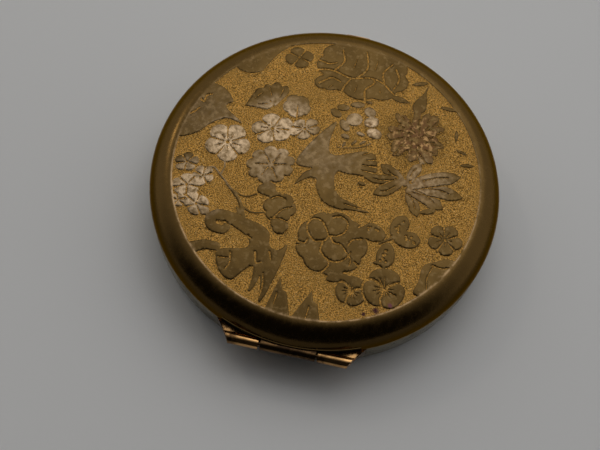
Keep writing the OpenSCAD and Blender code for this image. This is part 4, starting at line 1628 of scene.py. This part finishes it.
@dataclass
class BaseShell:
    """The pressed base pan and the frame ring that stands in it.

    Attributes:
        foot: Radius of the rounded bottom edge.
        sheet: Thickness of the sheet.
        recess: Depth of the turned recess in the underside.
        recess_r: Radius of that recess.
        tray_r: Inner radius of the frame ring.
        thumb_half: Half width of the pan's slot for the thumb piece.
        catch_half: Half width of the collar's gap at the catch.
        door_half: Half width of the collar's gap at the door's hinge.
    """

    foot: float = 3.0
    sheet: float = 0.5
    recess: float = 0.16
    recess_r: float = 27.0
    tray_r: float = 25.4
    thumb_half: float = 2.65
    catch_half: float = 4.0
    door_half: float = 6.5
    steps: int = 480

    def __post_init__(self) -> None:
        """Read the outside sizes from the frame."""
        pan, rim = box_mm("base_pan")[1], box_mm("base_rim")[1]
        self.radius, self.top = pan.x, pan.z
        self.collar_r, self.collar_top = rim.x, rim.z
        self.hinge = joint_mm("lid_hinge")
        self.knuckle = box_mm("lid_hinge_leaf")[1].x + 0.4
        self.barrel = box_mm("base_hinge_leaf")[1].y - self.hinge.y
        self.tab_low = box_mm("catch_tab")[0].z
        self.plate = self.top + 0.12 - 2.5

    def pan_section(self) -> list[Point]:
        """Give the pan's section, with the turned recess and a bead in its underside."""
        arc = np.linspace(-pi / 2, 0, 9)
        mid, inner = self.radius - self.foot, self.foot - self.sheet
        out = [(0.0, self.recess)]
        for bead in (7.0, 16.0):
            for shift, lift in ((-0.7, 0.0), (-0.35, 0.11), (0.35, 0.11), (0.7, 0.0)):
                out.append((bead + shift, self.recess - lift))
        out += [(self.recess_r - 0.5, self.recess), (self.recess_r, 0.0)]
        out += [(mid + self.foot * cos(a), self.foot + self.foot * sin(a)) for a in arc]
        lip = rounded([(self.radius, self.foot), (self.radius, self.top),
                       (self.radius - self.sheet, self.top), (self.radius - self.sheet, self.foot)],
                      (0, 0.18, 0.18, 0))
        out += lip[1:]
        out += [(mid + inner * cos(a), self.foot + inner * sin(a)) for a in arc[-2::-1]]
        return out + [(12.0, self.sheet), (0.0, self.sheet)]

    def slots(self, floor: float, front: float, back: float, front_z: float,
              back_z: float) -> Callable[[np.ndarray, np.ndarray], np.ndarray]:
        """Make a cutter that lowers a wall's top at the thumb piece and at the hinge.

        Args:
            floor: Points below this height stay.
            front: Half width of the slot at the thumb piece.
            back: Half width of the slot at the hinge.
            front_z: Height of the slot's floor at the thumb piece.
            back_z: Height of the slot's floor at the hinge.

        Returns:
            The cutter, for a turned shape.
        """
        def cut(grid: np.ndarray, angle: np.ndarray) -> np.ndarray:
            """Lower the points of a turned grid."""
            x, y = self.radius * np.cos(angle), self.radius * np.sin(angle)
            limit = np.where((np.abs(x) < front) & (y < 0), front_z, 1e3)
            limit = np.where((np.abs(x) < back) & (y > 0), back_z, limit)
            tall = grid[:, :, 2] > floor
            grid[:, :, 2] = np.where(tall, np.minimum(grid[:, :, 2], limit), grid[:, :, 2])
            return grid
        return cut

    def edges(self, *halves: float) -> list[float]:
        """Give the angles where slots of these half widths begin and end."""
        return [side + turn * asin(half / self.radius) for half in halves
                for side in (pi / 2, -pi / 2) for turn in (-1, 1)]

    def build(self, maker: Maker) -> None:
        """Make the pan and the frame ring.

        Args:
            maker: The maker of pieces.
        """
        angles = stepped(self.steps, self.edges(self.thumb_half, self.knuckle))
        notch = self.hinge.z - sqrt(1.4 ** 2 - (self.hinge.y - self.radius) ** 2)
        cut = self.slots(self.foot, self.thumb_half, self.knuckle, self.tab_low - 0.15, notch)
        pan = Shape.turned(self.pan_section(), angles, cut)
        maker.piece("base_pan_shell", pan, Body.BASE, Slot.PLATE, "base_pan", crease=40)

        low, high = self.plate - self.sheet, self.collar_top
        section = rounded([(self.tray_r, low), (self.collar_r, low), (self.collar_r, high),
                           (self.collar_r - self.sheet, high), (self.collar_r - self.sheet, self.plate),
                           (self.tray_r, self.plate)], (0, 0, 0.2, 0.2, 0.3, 0))
        angles = stepped(self.steps, self.edges(self.catch_half, self.door_half))
        cut = self.slots(self.plate + 1e-3, self.catch_half, self.door_half, self.plate, self.plate)
        maker.piece("frame_ring", Shape.turned(section, angles, cut), Body.BASE, Slot.FRAME,
                    "base_rim", crease=40)


def stepped(steps: int, edges: Sequence[float], gap: float = 0.002) -> np.ndarray:
    """Give evenly spaced angles with two close ones at each sudden edge.

    Args:
        steps: Number of even steps.
        edges: Angles of the edges.
        gap: Distance between the two close angles.

    Returns:
        The angles, in order.
    """
    even = np.arange(steps) * TAU / steps
    pairs = np.mod([e + s * gap / 2 for e in edges for s in (-1, 1)], TAU)
    near = np.abs((even[:, None] - pairs[None, :] + pi) % TAU - pi).min(1)
    return np.sort(np.concatenate([even[near > gap], pairs]))


# ---------------------------------------------------------------- the hinge of the lid


@dataclass
class LidHinge:
    """The three-knuckle hinge: rolled outer knuckles on a leaf, the pin and the lid's knuckle.

    Attributes:
        leaf_half: Half length of the barrel at its long side.
        taper: How much shorter its outer side is.
        web: How far the leaf's web reaches down.
        strap: Thickness of the strap soldered to the pan.
        hole: Radius of the pin's hole.
    """

    leaf_half: float = 12.6
    taper: float = 1.2
    web: float = 3.6
    strap: float = 0.35
    hole: float = 0.47

    def __post_init__(self) -> None:
        """Read the places from the frame."""
        self.axis = joint_mm("lid_hinge")
        self.barrel = box_mm("base_hinge_leaf")[1].y - self.axis.y
        self.pan_r = box_mm("base_pan")[1].x
        self.middle = box_mm("lid_hinge_leaf")[1].x

    def knuckle(self, side: int) -> Shape:
        """Make an outer knuckle with its web, cut to the pan's round wall.

        Args:
            side: 1 or -1.

        Returns:
            The shape.
        """
        r = self.barrel
        turn = np.linspace(radians(-32), radians(186), 27)
        outline = [(r * cos(a), r * sin(a)) for a in turn]
        outline += [(-2.0, -0.12), (-5.0, -0.12), (-5.0, -self.web), (-3.0, -self.web),
                    (-1.4, -2.4), (0.2, -1.22), (0.62, -0.93), (0.80, -0.90)]
        outer = np.array(outline)
        angle = np.arctan2(outer[:, 1], outer[:, 0])
        inner = self.hole * np.stack([np.cos(angle), np.sin(angle)], 1)
        rows = []
        for loop in (outer, inner):
            for t in np.linspace(0, 1, 13):
                start = self.middle + 0.4
                end = self.leaf_half - self.taper / 2 - self.taper * loop[:, 0] / (2 * r)
                x = start + t * (end - start)
                wall = np.sqrt(self.pan_r ** 2 - x ** 2) - self.axis.y
                y = np.maximum(loop[:, 0], wall) if loop is outer else loop[:, 0]
                rows.append(np.stack([side * x, self.axis.y + y, self.axis.z + loop[:, 1]], 1))
        n, layers = len(outer), 13
        faces = []
        for block_at in (0, layers):
            for i in range(layers - 1):
                for k in range(n):
                    a, b = (block_at + i) * n + k, (block_at + i) * n + (k + 1) % n
                    faces.append([a, b, b + n, a + n])
        for i in (0, layers - 1):
            for k in range(n):
                a, b = i * n + k, i * n + (k + 1) % n
                faces.append([a, b, b + layers * n, a + layers * n])
        return Shape(np.vstack(rows), faces)

    def strap_plate(self) -> Shape:
        """Make the curved strap that is soldered to the pan below the barrel."""
        half = asin((self.leaf_half - 1) / self.pan_r)
        low, high = self.axis.z - self.web, self.axis.z - self.barrel - 0.25
        section = rounded([(self.pan_r - 0.01, low), (self.pan_r + self.strap, low),
                           (self.pan_r + self.strap, high), (self.pan_r - 0.01, high)],
                          (0, 0.15, 0.15, 0), 3)
        return swung(section, pi / 2 - half, pi / 2 + half, 60)

    def build(self, maker: Maker) -> None:
        """Make the hinge.

        Args:
            maker: The maker of pieces.
        """
        leaf = self.knuckle(1).joined(self.knuckle(-1)).joined(self.strap_plate())
        maker.piece("base_hinge_knuckles", leaf, Body.BASE, Slot.HINGE, "base_hinge_leaf",
                    crease=38, bevel=0.09)
        middle = maker.eased("lid_hinge_knuckle", "lid_hinge_leaf", Body.LID, Slot.HINGE, 0.12)
        # The lid's knuckle and the pin: tarnish with painted shade from the lid above.
        middle.data.materials[0] = maker.finishes.tarnish_and_shade_hinge
        pin = maker.eased("hinge_pin_rod", "hinge_pin", Body.BASE, Slot.STEEL, 0.12)
        pin.data.materials[0] = maker.finishes.tarnish_and_shade_hinge


def swung(section: Line, start: float, end: float, steps: int) -> Shape:
    """Swing a closed section part of the way round the Z axis and close its ends.

    Args:
        section: Points of radius and height.
        start: First angle.
        end: Last angle.
        steps: Number of steps.

    Returns:
        The shape.
    """
    angle = np.linspace(start, end, steps + 1)
    rz = np.array(section, float)
    grid = np.stack([rz[:, 0] * np.cos(angle)[:, None], rz[:, 0] * np.sin(angle)[:, None],
                     np.repeat(rz[None, :, 1], steps + 1, 0)], -1)
    n = len(rz)
    faces = [[i * n + k, i * n + (k + 1) % n, (i + 1) * n + (k + 1) % n, (i + 1) * n + k]
             for i in range(steps) for k in range(n)]
    faces += [list(range(n)), [steps * n + k for k in range(n)][::-1]]
    return Shape(grid.reshape(-1, 3), faces)


def helix(centre: Sequence[float], along: str, start: float, end: float, radius: float,
          turns: float, wire: float, legs: Sequence[Sequence[float]] = ()) -> Shape:
    """Wind a wire into a coil.

    Args:
        centre: A point on its axis.
        along: The axis that it runs along, x or y.
        start: Where it starts on that axis.
        end: Where it ends on that axis.
        radius: Radius of its middle line.
        turns: Number of turns.
        wire: Radius of the wire.
        legs: Points that the wire goes on to after the last turn.

    Returns:
        The shape.
    """
    t = np.linspace(0, 1, int(22 * turns) + 1)
    a = TAU * turns * t
    run = start + (end - start) * t
    if along == "x":
        path = np.stack([run, centre[1] + radius * np.cos(a), centre[2] + radius * np.sin(a)], 1)
    else:
        path = np.stack([centre[0] + radius * np.cos(a), run, centre[2] + radius * np.sin(a)], 1)
    if len(legs):
        path = np.vstack([path, np.array(legs, float)])
    return swept(path, wire, 8)


# ---------------------------------------------------------------- the catch


@dataclass
class Catch:
    """The thumb catch in the base and the keeper in the lid.

    Attributes:
        coil: Radius of the catch spring.
        wire: Radius of its wire.
        turns: Number of its turns.
        head: Radius of a rivet's head.
    """

    coil: float = 0.6
    wire: float = 0.12
    turns: float = 6.0
    head: float = 0.9

    def build(self, maker: Maker) -> None:
        """Make the catch.

        Args:
            maker: The maker of pieces.
        """
        maker.eased("thumb_catch", "catch_tab", Body.CATCH, Slot.HINGE, 0.16)
        maker.eased("catch_housing", "catch_cover", Body.BASE, Slot.FRAME, 0.1)
        maker.eased("lid_catch_keeper", "lid_keeper", Body.LID, Slot.FRAME, 0.08)
        low, high = box_mm("catch_spring")
        centre = ((low.x + high.x) / 2, 0, (low.z + high.z) / 2)
        coil = helix(centre, "y", low.y + self.wire, high.y - self.wire, self.coil, self.turns, self.wire)
        spring = maker.piece("catch_coil_spring", coil, Body.BASE, Slot.STEEL, "catch_spring")
        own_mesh(spring)
        maker.piece("catch_rivet_heads", self.rivets(), Body.BASE, Slot.FRAME, "catch_rivets")

    def rivets(self) -> Shape:
        """Make the two domed rivet heads."""
        low, high = box_mm("catch_rivets")
        section = [(0, low.z), (self.head, low.z)]
        for a in np.linspace(0, pi / 2, 7):
            section.append((self.head * cos(a), low.z + 0.06 + (high.z - low.z - 0.06) * sin(a)))
        one = Shape.turned(section, np.arange(28) * TAU / 28)
        y = (low.y + high.y) / 2
        left = one.placed(Matrix.Translation((low.x + self.head, y, 0)))
        return left.joined(one.placed(Matrix.Translation((high.x - self.head, y, 0))))


# ---------------------------------------------------------------- inside the lid


@dataclass
class LidMirror:
    """The mirror with its bevelled edge, the card behind it and the bezel that holds it.

    Attributes:
        bevel: Width of the glass's bevel.
        drop: Depth of that bevel.
    """

    bevel: float = 1.2
    drop: float = 0.5
    steps: int = 288

    def build(self, maker: Maker) -> None:
        """Make the mirror's pieces.

        Args:
            maker: The maker of pieces.
        """
        angles = np.arange(self.steps) * TAU / self.steps
        low, high = box_mm("mirror")
        edge = rounded([(0, low.z), (high.x - self.bevel, low.z), (high.x, low.z + self.drop),
                        (high.x, high.z), (0, high.z)], (0, 0, 0.08, 0.08, 0))
        maker.piece("mirror_glass", Shape.turned(edge, angles), Body.LID, Slot.MIRROR, "mirror",
                    crease=12)
        low, high = box_mm("mirror_pad")
        card = rounded([(0, low.z), (high.x, low.z), (high.x, high.z), (0, high.z)], (0, 0.1, 0.1, 0))
        maker.piece("mirror_card", Shape.turned(card, angles), Body.LID, Slot.CARD, "mirror_pad")
        maker.piece("mirror_frame_ring", Shape.turned(self.bezel_section(), angles), Body.LID,
                    Slot.FRAME, "mirror_bezel", crease=40)

    def bezel_section(self) -> list[Point]:
        """Give the bezel's section: a lip with a bead over the glass, and its wall."""
        low, high = box_mm("mirror_bezel")
        wall_out, lip_in, wall_in = high.x, high.x - 2.1, high.x - 0.5
        top_out, top_in = high.z - 0.22, high.z - 0.16
        corners = [(lip_in, low.z + 0.3), (lip_in + 0.4, low.z), (lip_in + 0.9, low.z + 0.16),
                   (lip_in + 1.2, low.z + 0.16), (lip_in + 1.55, low.z), (wall_out, low.z),
                   (wall_out, top_out), (wall_in, top_in), (wall_in, low.z + 0.5),
                   (lip_in, low.z + 0.5)]
        return rounded(corners, (0.06, 0.12, 0.1, 0.1, 0.12, 0.2, 0, 0, 0, 0.06), 3)


# ---------------------------------------------------------------- the powder well


@dataclass
class PowderWell:
    """The powder well with its rolled flange, the powder and the sifter over it.

    Attributes:
        sheet: Thickness of the well's sheet.
        flange: Width of its flange.
    """

    sheet: float = 0.5
    flange: float = 1.6
    seed: int = 3
    steps: int = 288

    def build(self, maker: Maker) -> None:
        """Make the well's pieces.

        Args:
            maker: The maker of pieces.
        """
        angles = np.arange(self.steps) * TAU / self.steps
        low, high = box_mm("powder_well")
        wall = high.x - self.flange
        inner, floor = wall - self.sheet, low.z + self.sheet
        corners = [(0, low.z), (wall, low.z), (wall, high.z - 0.3), (high.x, high.z - 0.3),
                   (high.x, high.z), (inner, high.z), (inner, floor), (0, floor)]
        section = rounded(corners, (0, 0.45, 0, 0.14, 0.14, 0.2, 0.4, 0))
        maker.piece("powder_bowl", Shape.turned(section, angles), Body.BASE, Slot.FRAME,
                    "powder_well", crease=40)
        maker.piece("loose_powder", self.powder(angles), Body.BASE, Slot.POWDER, "powder_cake",
                    crease=80)
        low, high = box_mm("sifter_frame")
        lip = low.z + 0.15
        ring = rounded([(high.x - 0.4, low.z), (high.x, low.z), (high.x, high.z), (high.x - 0.4, high.z),
                        (high.x - 0.4, lip + 0.4), (high.x - 1.6, lip + 0.4), (high.x - 1.6, lip),
                        (high.x - 0.4, lip)], (0, 0.1, 0.14, 0.14, 0.15, 0.12, 0.05, 0))
        maker.piece("sifter_ring", Shape.turned(ring, angles), Body.BASE, Slot.FRAME,
                    "sifter_frame", crease=40)
        maker.refinish("sifter_screen", Slot.SCREEN)

    def powder(self, angles: np.ndarray) -> Shape:
        """Make the powder with an uneven, crumbled top.

        Args:
            angles: Angles of the steps round the axis.

        Returns:
            The shape.
        """
        low, high = box_mm("powder_cake")
        rng = np.random.default_rng(self.seed)
        rings = np.linspace(0, high.x - 0.25, 40)
        section = [(0, low.z), (high.x, low.z), (high.x, high.z - 0.35)]
        section += [(r, high.z - 0.12) for r in rings[::-1]]
        waves = rng.uniform(-1, 1, (9, 4))

        def drift(grid: np.ndarray, _: np.ndarray) -> np.ndarray:
            """Pile the top of the powder up unevenly."""
            x, y = grid[3:-1, :, 0], grid[3:-1, :, 1]
            rise = sum(0.03 * w[0] * np.sin(0.5 * w[1] * x + 0.5 * w[2] * y + 3 * w[3]) for w in waves)
            rise = rise + rng.uniform(-0.03, 0.03, x.shape)
            grid[3:-1, :, 2] = np.minimum(grid[3:-1, :, 2] + rise, high.z)
            return grid
        return Shape.turned(section, angles, drift)


# ---------------------------------------------------------------- the powder door


@dataclass
class PowderDoor:
    """The self-opening door over the powder, with engine turning and its hinge.

    Attributes:
        flutes: Number of radial flutes of the engine turning.
        flute_depth: Depth of the flutes.
        bead: Radius of the pressed bead near the edge.
        wire: Radius of the spring wire.
    """

    flutes: int = 48
    flute_depth: float = 0.05
    bead: float = 0.25
    wire: float = 0.12
    steps: int = 384

    def build(self, maker: Maker) -> None:
        """Make the door's pieces.

        Args:
            maker: The maker of pieces.
        """
        maker.piece("fluted_door", self.disc(), Body.DOOR, Slot.FRAME, "inner_door", crease=40)
        maker.eased("door_hinge_leaf", "door_leaf", Body.DOOR, Slot.FRAME, 0.08)
        maker.eased("door_finger_grip", "door_grip", Body.DOOR, Slot.FRAME, 0.1)
        maker.eased("door_hinge_bracket", "door_bracket", Body.BASE, Slot.FRAME, 0.1)
        maker.eased("door_hinge_pin", "door_pin", Body.BASE, Slot.STEEL, 0.06)
        maker.eased("door_snap_clip", "door_clip", Body.BASE, Slot.STEEL, 0.07)
        maker.piece("door_coil_springs", self.springs(), Body.BASE, Slot.STEEL, "door_spring")

    def disc(self) -> Shape:
        """Make the fluted disc."""
        low, high = box_mm("inner_door")
        sheet_top = low.z + 0.4
        out = high.x
        turn = np.linspace(pi, 0, 9)
        section = [(0, low.z), (out - 0.12, low.z), (out, low.z + 0.12), (out, sheet_top - 0.12),
                   (out - 0.12, sheet_top)]
        mid = out - 1.0
        section += [(mid - self.bead * cos(a), sheet_top - 0.02 + self.bead * sin(a))
                    for a in turn]
        section += [(mid - 0.6, sheet_top), (mid - 1.6, sheet_top)]
        rings = np.concatenate([np.linspace(mid - 1.8, 7.4, 22), [7.0, 6.8, 6.2, 5.4, 4.6, 3.0, 1.4, 0]])
        first = len(section)
        section += [(r, sheet_top) for r in rings]

        def flute(grid: np.ndarray, angle: np.ndarray) -> np.ndarray:
            """Sink the radial flutes and the petals of the middle rosette."""
            r = np.hypot(grid[first:, :, 0], grid[first:, :, 1])
            field = np.clip((r - 7.2) / 1.2, 0, 1) * np.clip((mid - 1.7 - r) / 1.2, 0, 1)
            swirl = angle + 0.25 * np.sin((r - 7) / 17 * pi)
            grid[first:, :, 2] -= self.flute_depth * field * (1 + np.cos(self.flutes * swirl))
            petals = np.clip((6.6 - r) / 1.5, 0, 1) * np.clip((r - 1.2) / 1.5, 0, 1)
            grid[first:, :, 2] -= 0.05 * petals * (1 + np.cos(12 * angle))
            groove = np.exp(-((r - 6.9) / 0.25) ** 2)
            grid[first:, :, 2] -= 0.1 * groove
            return grid
        return Shape.turned(section, np.arange(self.steps) * TAU / self.steps, flute)

    def springs(self) -> Shape:
        """Make the two coil springs on the door's pin."""
        low, high = box_mm("door_spring")
        centre = (0, (low.y + high.y) / 2, (low.z + high.z) / 2)
        radius = (high.z - low.z) / 2 - self.wire
        inner = high.x - 4 * (2 * self.wire + 0.06)
        shapes = []
        for side in (-1, 1):
            start, end = side * inner, side * (high.x - self.wire)
            foot = [(end, high.y - self.wire, low.z + 0.1)]
            shapes.append(helix(centre, "x", start, end, radius, 4, self.wire, foot))
        return shapes[0].joined(shapes[1])


# ---------------------------------------------------------------- the puff


@dataclass
class Puff:
    """The powder puff: a velour face, a satin back and a ribbon handle.

    Attributes:
        pile: How far single tufts of the velour stand out.
        gathers: Number of gathers round the satin's edge.
        stitches: Number of stitches round the back.
        frames: Number of steps of the cloth simulation.
    """

    pile: float = 0.10
    gathers: int = 44
    stitches: int = 60
    frames: int = 12
    seed: int = 11

    def build(self, maker: Maker) -> None:
        """Make the puff's pieces.

        Args:
            maker: The maker of pieces.
        """
        face = maker.piece("puff_velour", self.pillow(), Body.PUFF, Slot.VELOUR, "puff_face", crease=80)
        self.swell(face)
        self.ruffle(face)
        back = maker.piece("puff_satin_back", self.back(), Body.PUFF, Slot.SATIN, "puff_back", crease=80)
        maker.piece("puff_ribbon_band", self.ribbon(), Body.PUFF, Slot.RIBBON, "puff_ribbon", crease=50)
        maker.piece("puff_stitching", self.stitching(), Body.PUFF, Slot.RIBBON)

    def pillow(self) -> Shape:
        """Make the velour pad: flat below and above, with a full round edge."""
        low, high = box_mm("puff_face")
        tall = high.z - low.z
        rings = 34
        out = []
        for a in np.linspace(-pi / 2, pi / 2, 15):
            out.append((high.x - 0.15 - tall / 2 + (tall / 2) * cos(a),
                        (low.z + high.z) / 2 + 0.92 * (tall / 2) * sin(a)))
        edge = out[0][0]
        below = [(r, out[0][1]) for r in np.linspace(0, edge, rings, endpoint=False)]
        above = [(r, out[-1][1]) for r in np.linspace(edge, 0, rings)[1:]]
        return Shape.turned(below + out + above, np.arange(150) * TAU / 150)

    def swell(self, piece: bpy.types.Object) -> None:
        """Blow the pad up as cloth and hold it inside its CAD solid.

        Args:
            piece: The pad.
        """
        low, high = box_mm("puff_face")
        cloth = piece.modifiers.new("cloth", "CLOTH")
        cloth.settings.use_pressure = True
        cloth.settings.uniform_pressure_force = 4.0
        cloth.settings.effector_weights.gravity = 0.0
        cloth.settings.quality = 4
        scene = bpy.context.scene
        for step in range(1, self.frames + 1):
            scene.frame_set(step)
        swollen = piece.evaluated_get(bpy.context.evaluated_depsgraph_get()).data
        found = np.empty(3 * len(swollen.vertices))
        swollen.vertices.foreach_get("co", found)
        piece.modifiers.remove(cloth)
        scene.frame_set(1)
        now = found.reshape(-1, 3) / MM
        r = np.hypot(now[:, 0], now[:, 1])
        keep = np.minimum(1, (high.x - 0.05) / np.maximum(r, 1e-6))
        now[:, :2] *= keep[:, None]
        now[:, 2] = np.clip(now[:, 2], low.z + 0.02, high.z - 0.02)
        piece.data.vertices.foreach_set("co", (now * MM).ravel())
        piece.data.update()

    def ruffle(self, piece: bpy.types.Object) -> None:
        """Raise the velour's tufts by splitting the pad finer and pushing points in at random.

        Args:
            piece: The pad.
        """
        bm = bmesh.new()
        bm.from_mesh(piece.data)
        bmesh.ops.subdivide_edges(bm, edges=bm.edges, cuts=1, use_grid_fill=True)
        bm.normal_update()
        rng = np.random.default_rng(self.seed)
        for vert, push in zip(bm.verts, rng.uniform(0, self.pile, len(bm.verts))):
            vert.co -= vert.normal * float(push) * MM
        bm.to_mesh(piece.data)
        bm.free()
        piece.data.shade_smooth()

    def back(self) -> Shape:
        """Make the satin back, drawn in by gathers at its edge."""
        low, high = box_mm("puff_back")
        section = [(0, low.z), (high.x - 1.4, low.z)]
        for a in np.linspace(-pi / 2, pi / 2, 9):
            section.append((high.x - 0.5 + 0.48 * cos(a), (low.z + high.z) / 2 + 0.48 * sin(a)))
        section += [(r, high.z - 0.02) for r in np.linspace(high.x - 1.2, 0, 30)]

        def gather(grid: np.ndarray, angle: np.ndarray) -> np.ndarray:
            """Sink the folds between the gathers."""
            r = np.hypot(grid[:, :, 0], grid[:, :, 1])
            share = np.clip((r - 12) / (high.x - 12), 0, 1) ** 2
            fold = 0.5 + 0.5 * np.sin(self.gathers * angle + 1.3 * np.sin(7 * angle))
            top = grid[:, :, 2] > (low.z + high.z) / 2
            grid[:, :, 2] -= np.where(top, 0.22 * share * fold + 0.12 * (r / high.x) ** 2, 0)
            return grid
        return Shape.turned(section, np.arange(352) * TAU / 352, gather)

    def ribbon(self) -> Shape:
        """Make the flat ribbon across the back, with a raised woven edge."""
        low, high = box_mm("puff_ribbon")
        half, reach = high.x, high.y
        across, along = 25, 90
        tops, unders = [], []
        for j in range(along + 1):
            t = -1 + 2 * j / along
            for i in range(across + 1):
                s = -1 + 2 * i / across
                narrow = 1 - 0.05 * cos(pi * t) ** 2
                x, y = half * s * narrow, reach * t * sqrt(1 - (half * s / reach) ** 2)
                rise = 0.06 * (1 - t * t) + 0.02 * sin(9 * t + 2 * s)
                edge = 0.05 if 0.84 < abs(s) < 0.95 else 0.0
                z = low.z + 0.14 + rise + edge
                tops.append((x, y, min(z, high.z)))
                unders.append((x, y, low.z + 0.005))
        width = across + 1
        count = len(tops)
        faces = []
        for j in range(along):
            for i in range(across):
                a = j * width + i
                faces.append([a, a + 1, a + 1 + width, a + width])
                faces.append([count + a, count + a + width, count + a + 1 + width, count + a + 1])
        rim = list(range(width)) + [j * width + across for j in range(1, along + 1)]
        rim += [along * width + i for i in range(across - 1, -1, -1)]
        rim += [j * width for j in range(along - 1, 0, -1)]
        for a, b in zip(rim, rim[1:] + rim[:1]):
            faces.append([b, a, count + a, count + b])
        return Shape(np.array(tops + unders), faces)

    def stitching(self) -> Shape:
        """Make the running stitch that holds the back to the face."""
        low, high = box_mm("puff_back")
        whole: Optional[Shape] = None
        for k in range(self.stitches):
            a0 = TAU * k / self.stitches
            a = np.linspace(a0, a0 + 0.6 * TAU / self.stitches, 7)
            r = high.x + 0.02 + 0.05 * np.cos(np.linspace(-1, 1, 7) * 1.4)
            z = np.full(7, low.z + 0.25)
            path = np.stack([r * np.cos(a), r * np.sin(a), z], 1)
            one = swept(path, 0.07, 6)
            whole = one if whole is None else whole.joined(one)
        return whole


# ---------------------------------------------------------------- the studio


@dataclass
class Studio:
    """A pale floor, soft lights and the camera.

    Attributes:
        eye: Place of the camera in millimetres.
        aim: The point that it looks at in millimetres.
        roll: Its roll in degrees.
        lens: Its focal length in millimetres.
        sensor: Width of its sensor in millimetres.
        bright: Brightness of the room.
        dark: Brightness of its side behind the camera.
    """

    eye: tuple[float, float, float] = (-5.9, 96.7, 206.8)
    aim: tuple[float, float, float] = (3.1, 9.7, 8.2)
    roll: float = 6.65
    lens: float = 66.0
    sensor: float = 36.0
    bright: float = 0.64
    dark: float = 0.015

    def light(self, name: str, place: tuple[float, float, float], size: tuple[float, float],
              power: float, tint: Colour = (1, 1, 1)) -> None:
        """Add a soft rectangular light that faces the compact.

        Args:
            name: Its name.
            place: Its place in millimetres.
            size: Its width and height in millimetres.
            power: Its power in watts.
            tint: Its colour.
        """
        lamp = bpy.data.lights.new(name, "AREA")
        lamp.shape = "RECTANGLE"
        lamp.size, lamp.size_y = size[0] * MM, size[1] * MM
        lamp.energy = power
        lamp.color = tint
        holder = bpy.data.objects.new(name, lamp)
        bpy.context.scene.collection.objects.link(holder)
        holder.location = Vector(place) * MM
        holder.rotation_euler = (-Vector(place)).to_track_quat("-Z", "Y").to_euler()

    def room(self) -> bpy.types.World:
        """Make the room: even soft light, with the side behind the camera left dark."""
        world = bpy.data.worlds.new("room")
        world.use_nodes = True
        tree = world.node_tree
        place = tree.nodes.new("ShaderNodeTexCoord").outputs["Generated"]
        side = tree.nodes.new("ShaderNodeVectorMath")
        side.operation = "DOT_PRODUCT"
        side.inputs[1].default_value = (0.0, 0.94, 0.34)
        share = tree.nodes.new("ShaderNodeMapRange")
        share.interpolation_type = "SMOOTHSTEP"
        share.inputs["From Min"].default_value = -0.04
        share.inputs["From Max"].default_value = 0.55
        share.inputs["To Min"].default_value = self.bright
        share.inputs["To Max"].default_value = self.dark
        tree.links.new(place, side.inputs[0])
        tree.links.new(side.outputs["Value"], share.inputs["Value"])
        background = tree.nodes["Background"]
        background.inputs["Color"].default_value = (1.0, 0.993, 0.98, 1)
        tree.links.new(share.outputs["Result"], background.inputs["Strength"])
        return world

    def build(self) -> None:
        """Set up the floor, the lights, the world and the camera."""
        scene = bpy.context.scene
        bpy.ops.mesh.primitive_plane_add(size=3.0)
        floor = bpy.context.object
        floor.name = "table_top"
        floor.data.materials.append(Floor().material())
        scene.world = self.room()
        self.light("ceiling panel", (-30, -170, 270), (240, 240), 0.135, (1.0, 0.995, 0.985))
        self.light("bare lamp", (250, -190, 300), (40, 40), 0.05, (1.0, 0.9, 0.75))
        camera_data = bpy.data.cameras.new("camera")
        camera_data.lens = self.lens
        camera_data.sensor_width = self.sensor
        camera_data.clip_start = 0.01
        camera = bpy.data.objects.new("camera", camera_data)
        scene.collection.objects.link(camera)
        eye, aim = Vector(self.eye) * MM, Vector(self.aim) * MM
        turn = (aim - eye).to_track_quat("-Z", "Y").to_matrix().to_4x4()
        roll = Matrix.Rotation(radians(self.roll), 4, "Z")
        camera.matrix_world = Matrix.Translation(eye) @ turn @ roll
        scene.camera = camera
        scene.view_settings.view_transform = "Standard"


def write_sizes() -> None:
    def plain(box: object) -> list:
        """Give a box as plain lists of numbers."""
        return [[float(c) for c in corner] for corner in box]


def main() -> None:
    """Build the compact piece by piece."""
    logging.basicConfig(level=logging.INFO, format="%(name)s %(message)s")
    maker = Maker(Finishes())
    Studio().build()
    LOG.info("studio ready")
    for part in (LidShell(), LidHinge(), LidMirror(), BaseShell(), Catch(), PowderWell(),
                 PowderDoor(), Puff()):
        part.build(maker)
        LOG.info("%s ready", type(part).__name__)
    write_sizes()


if __name__ == "__main__":
    main()
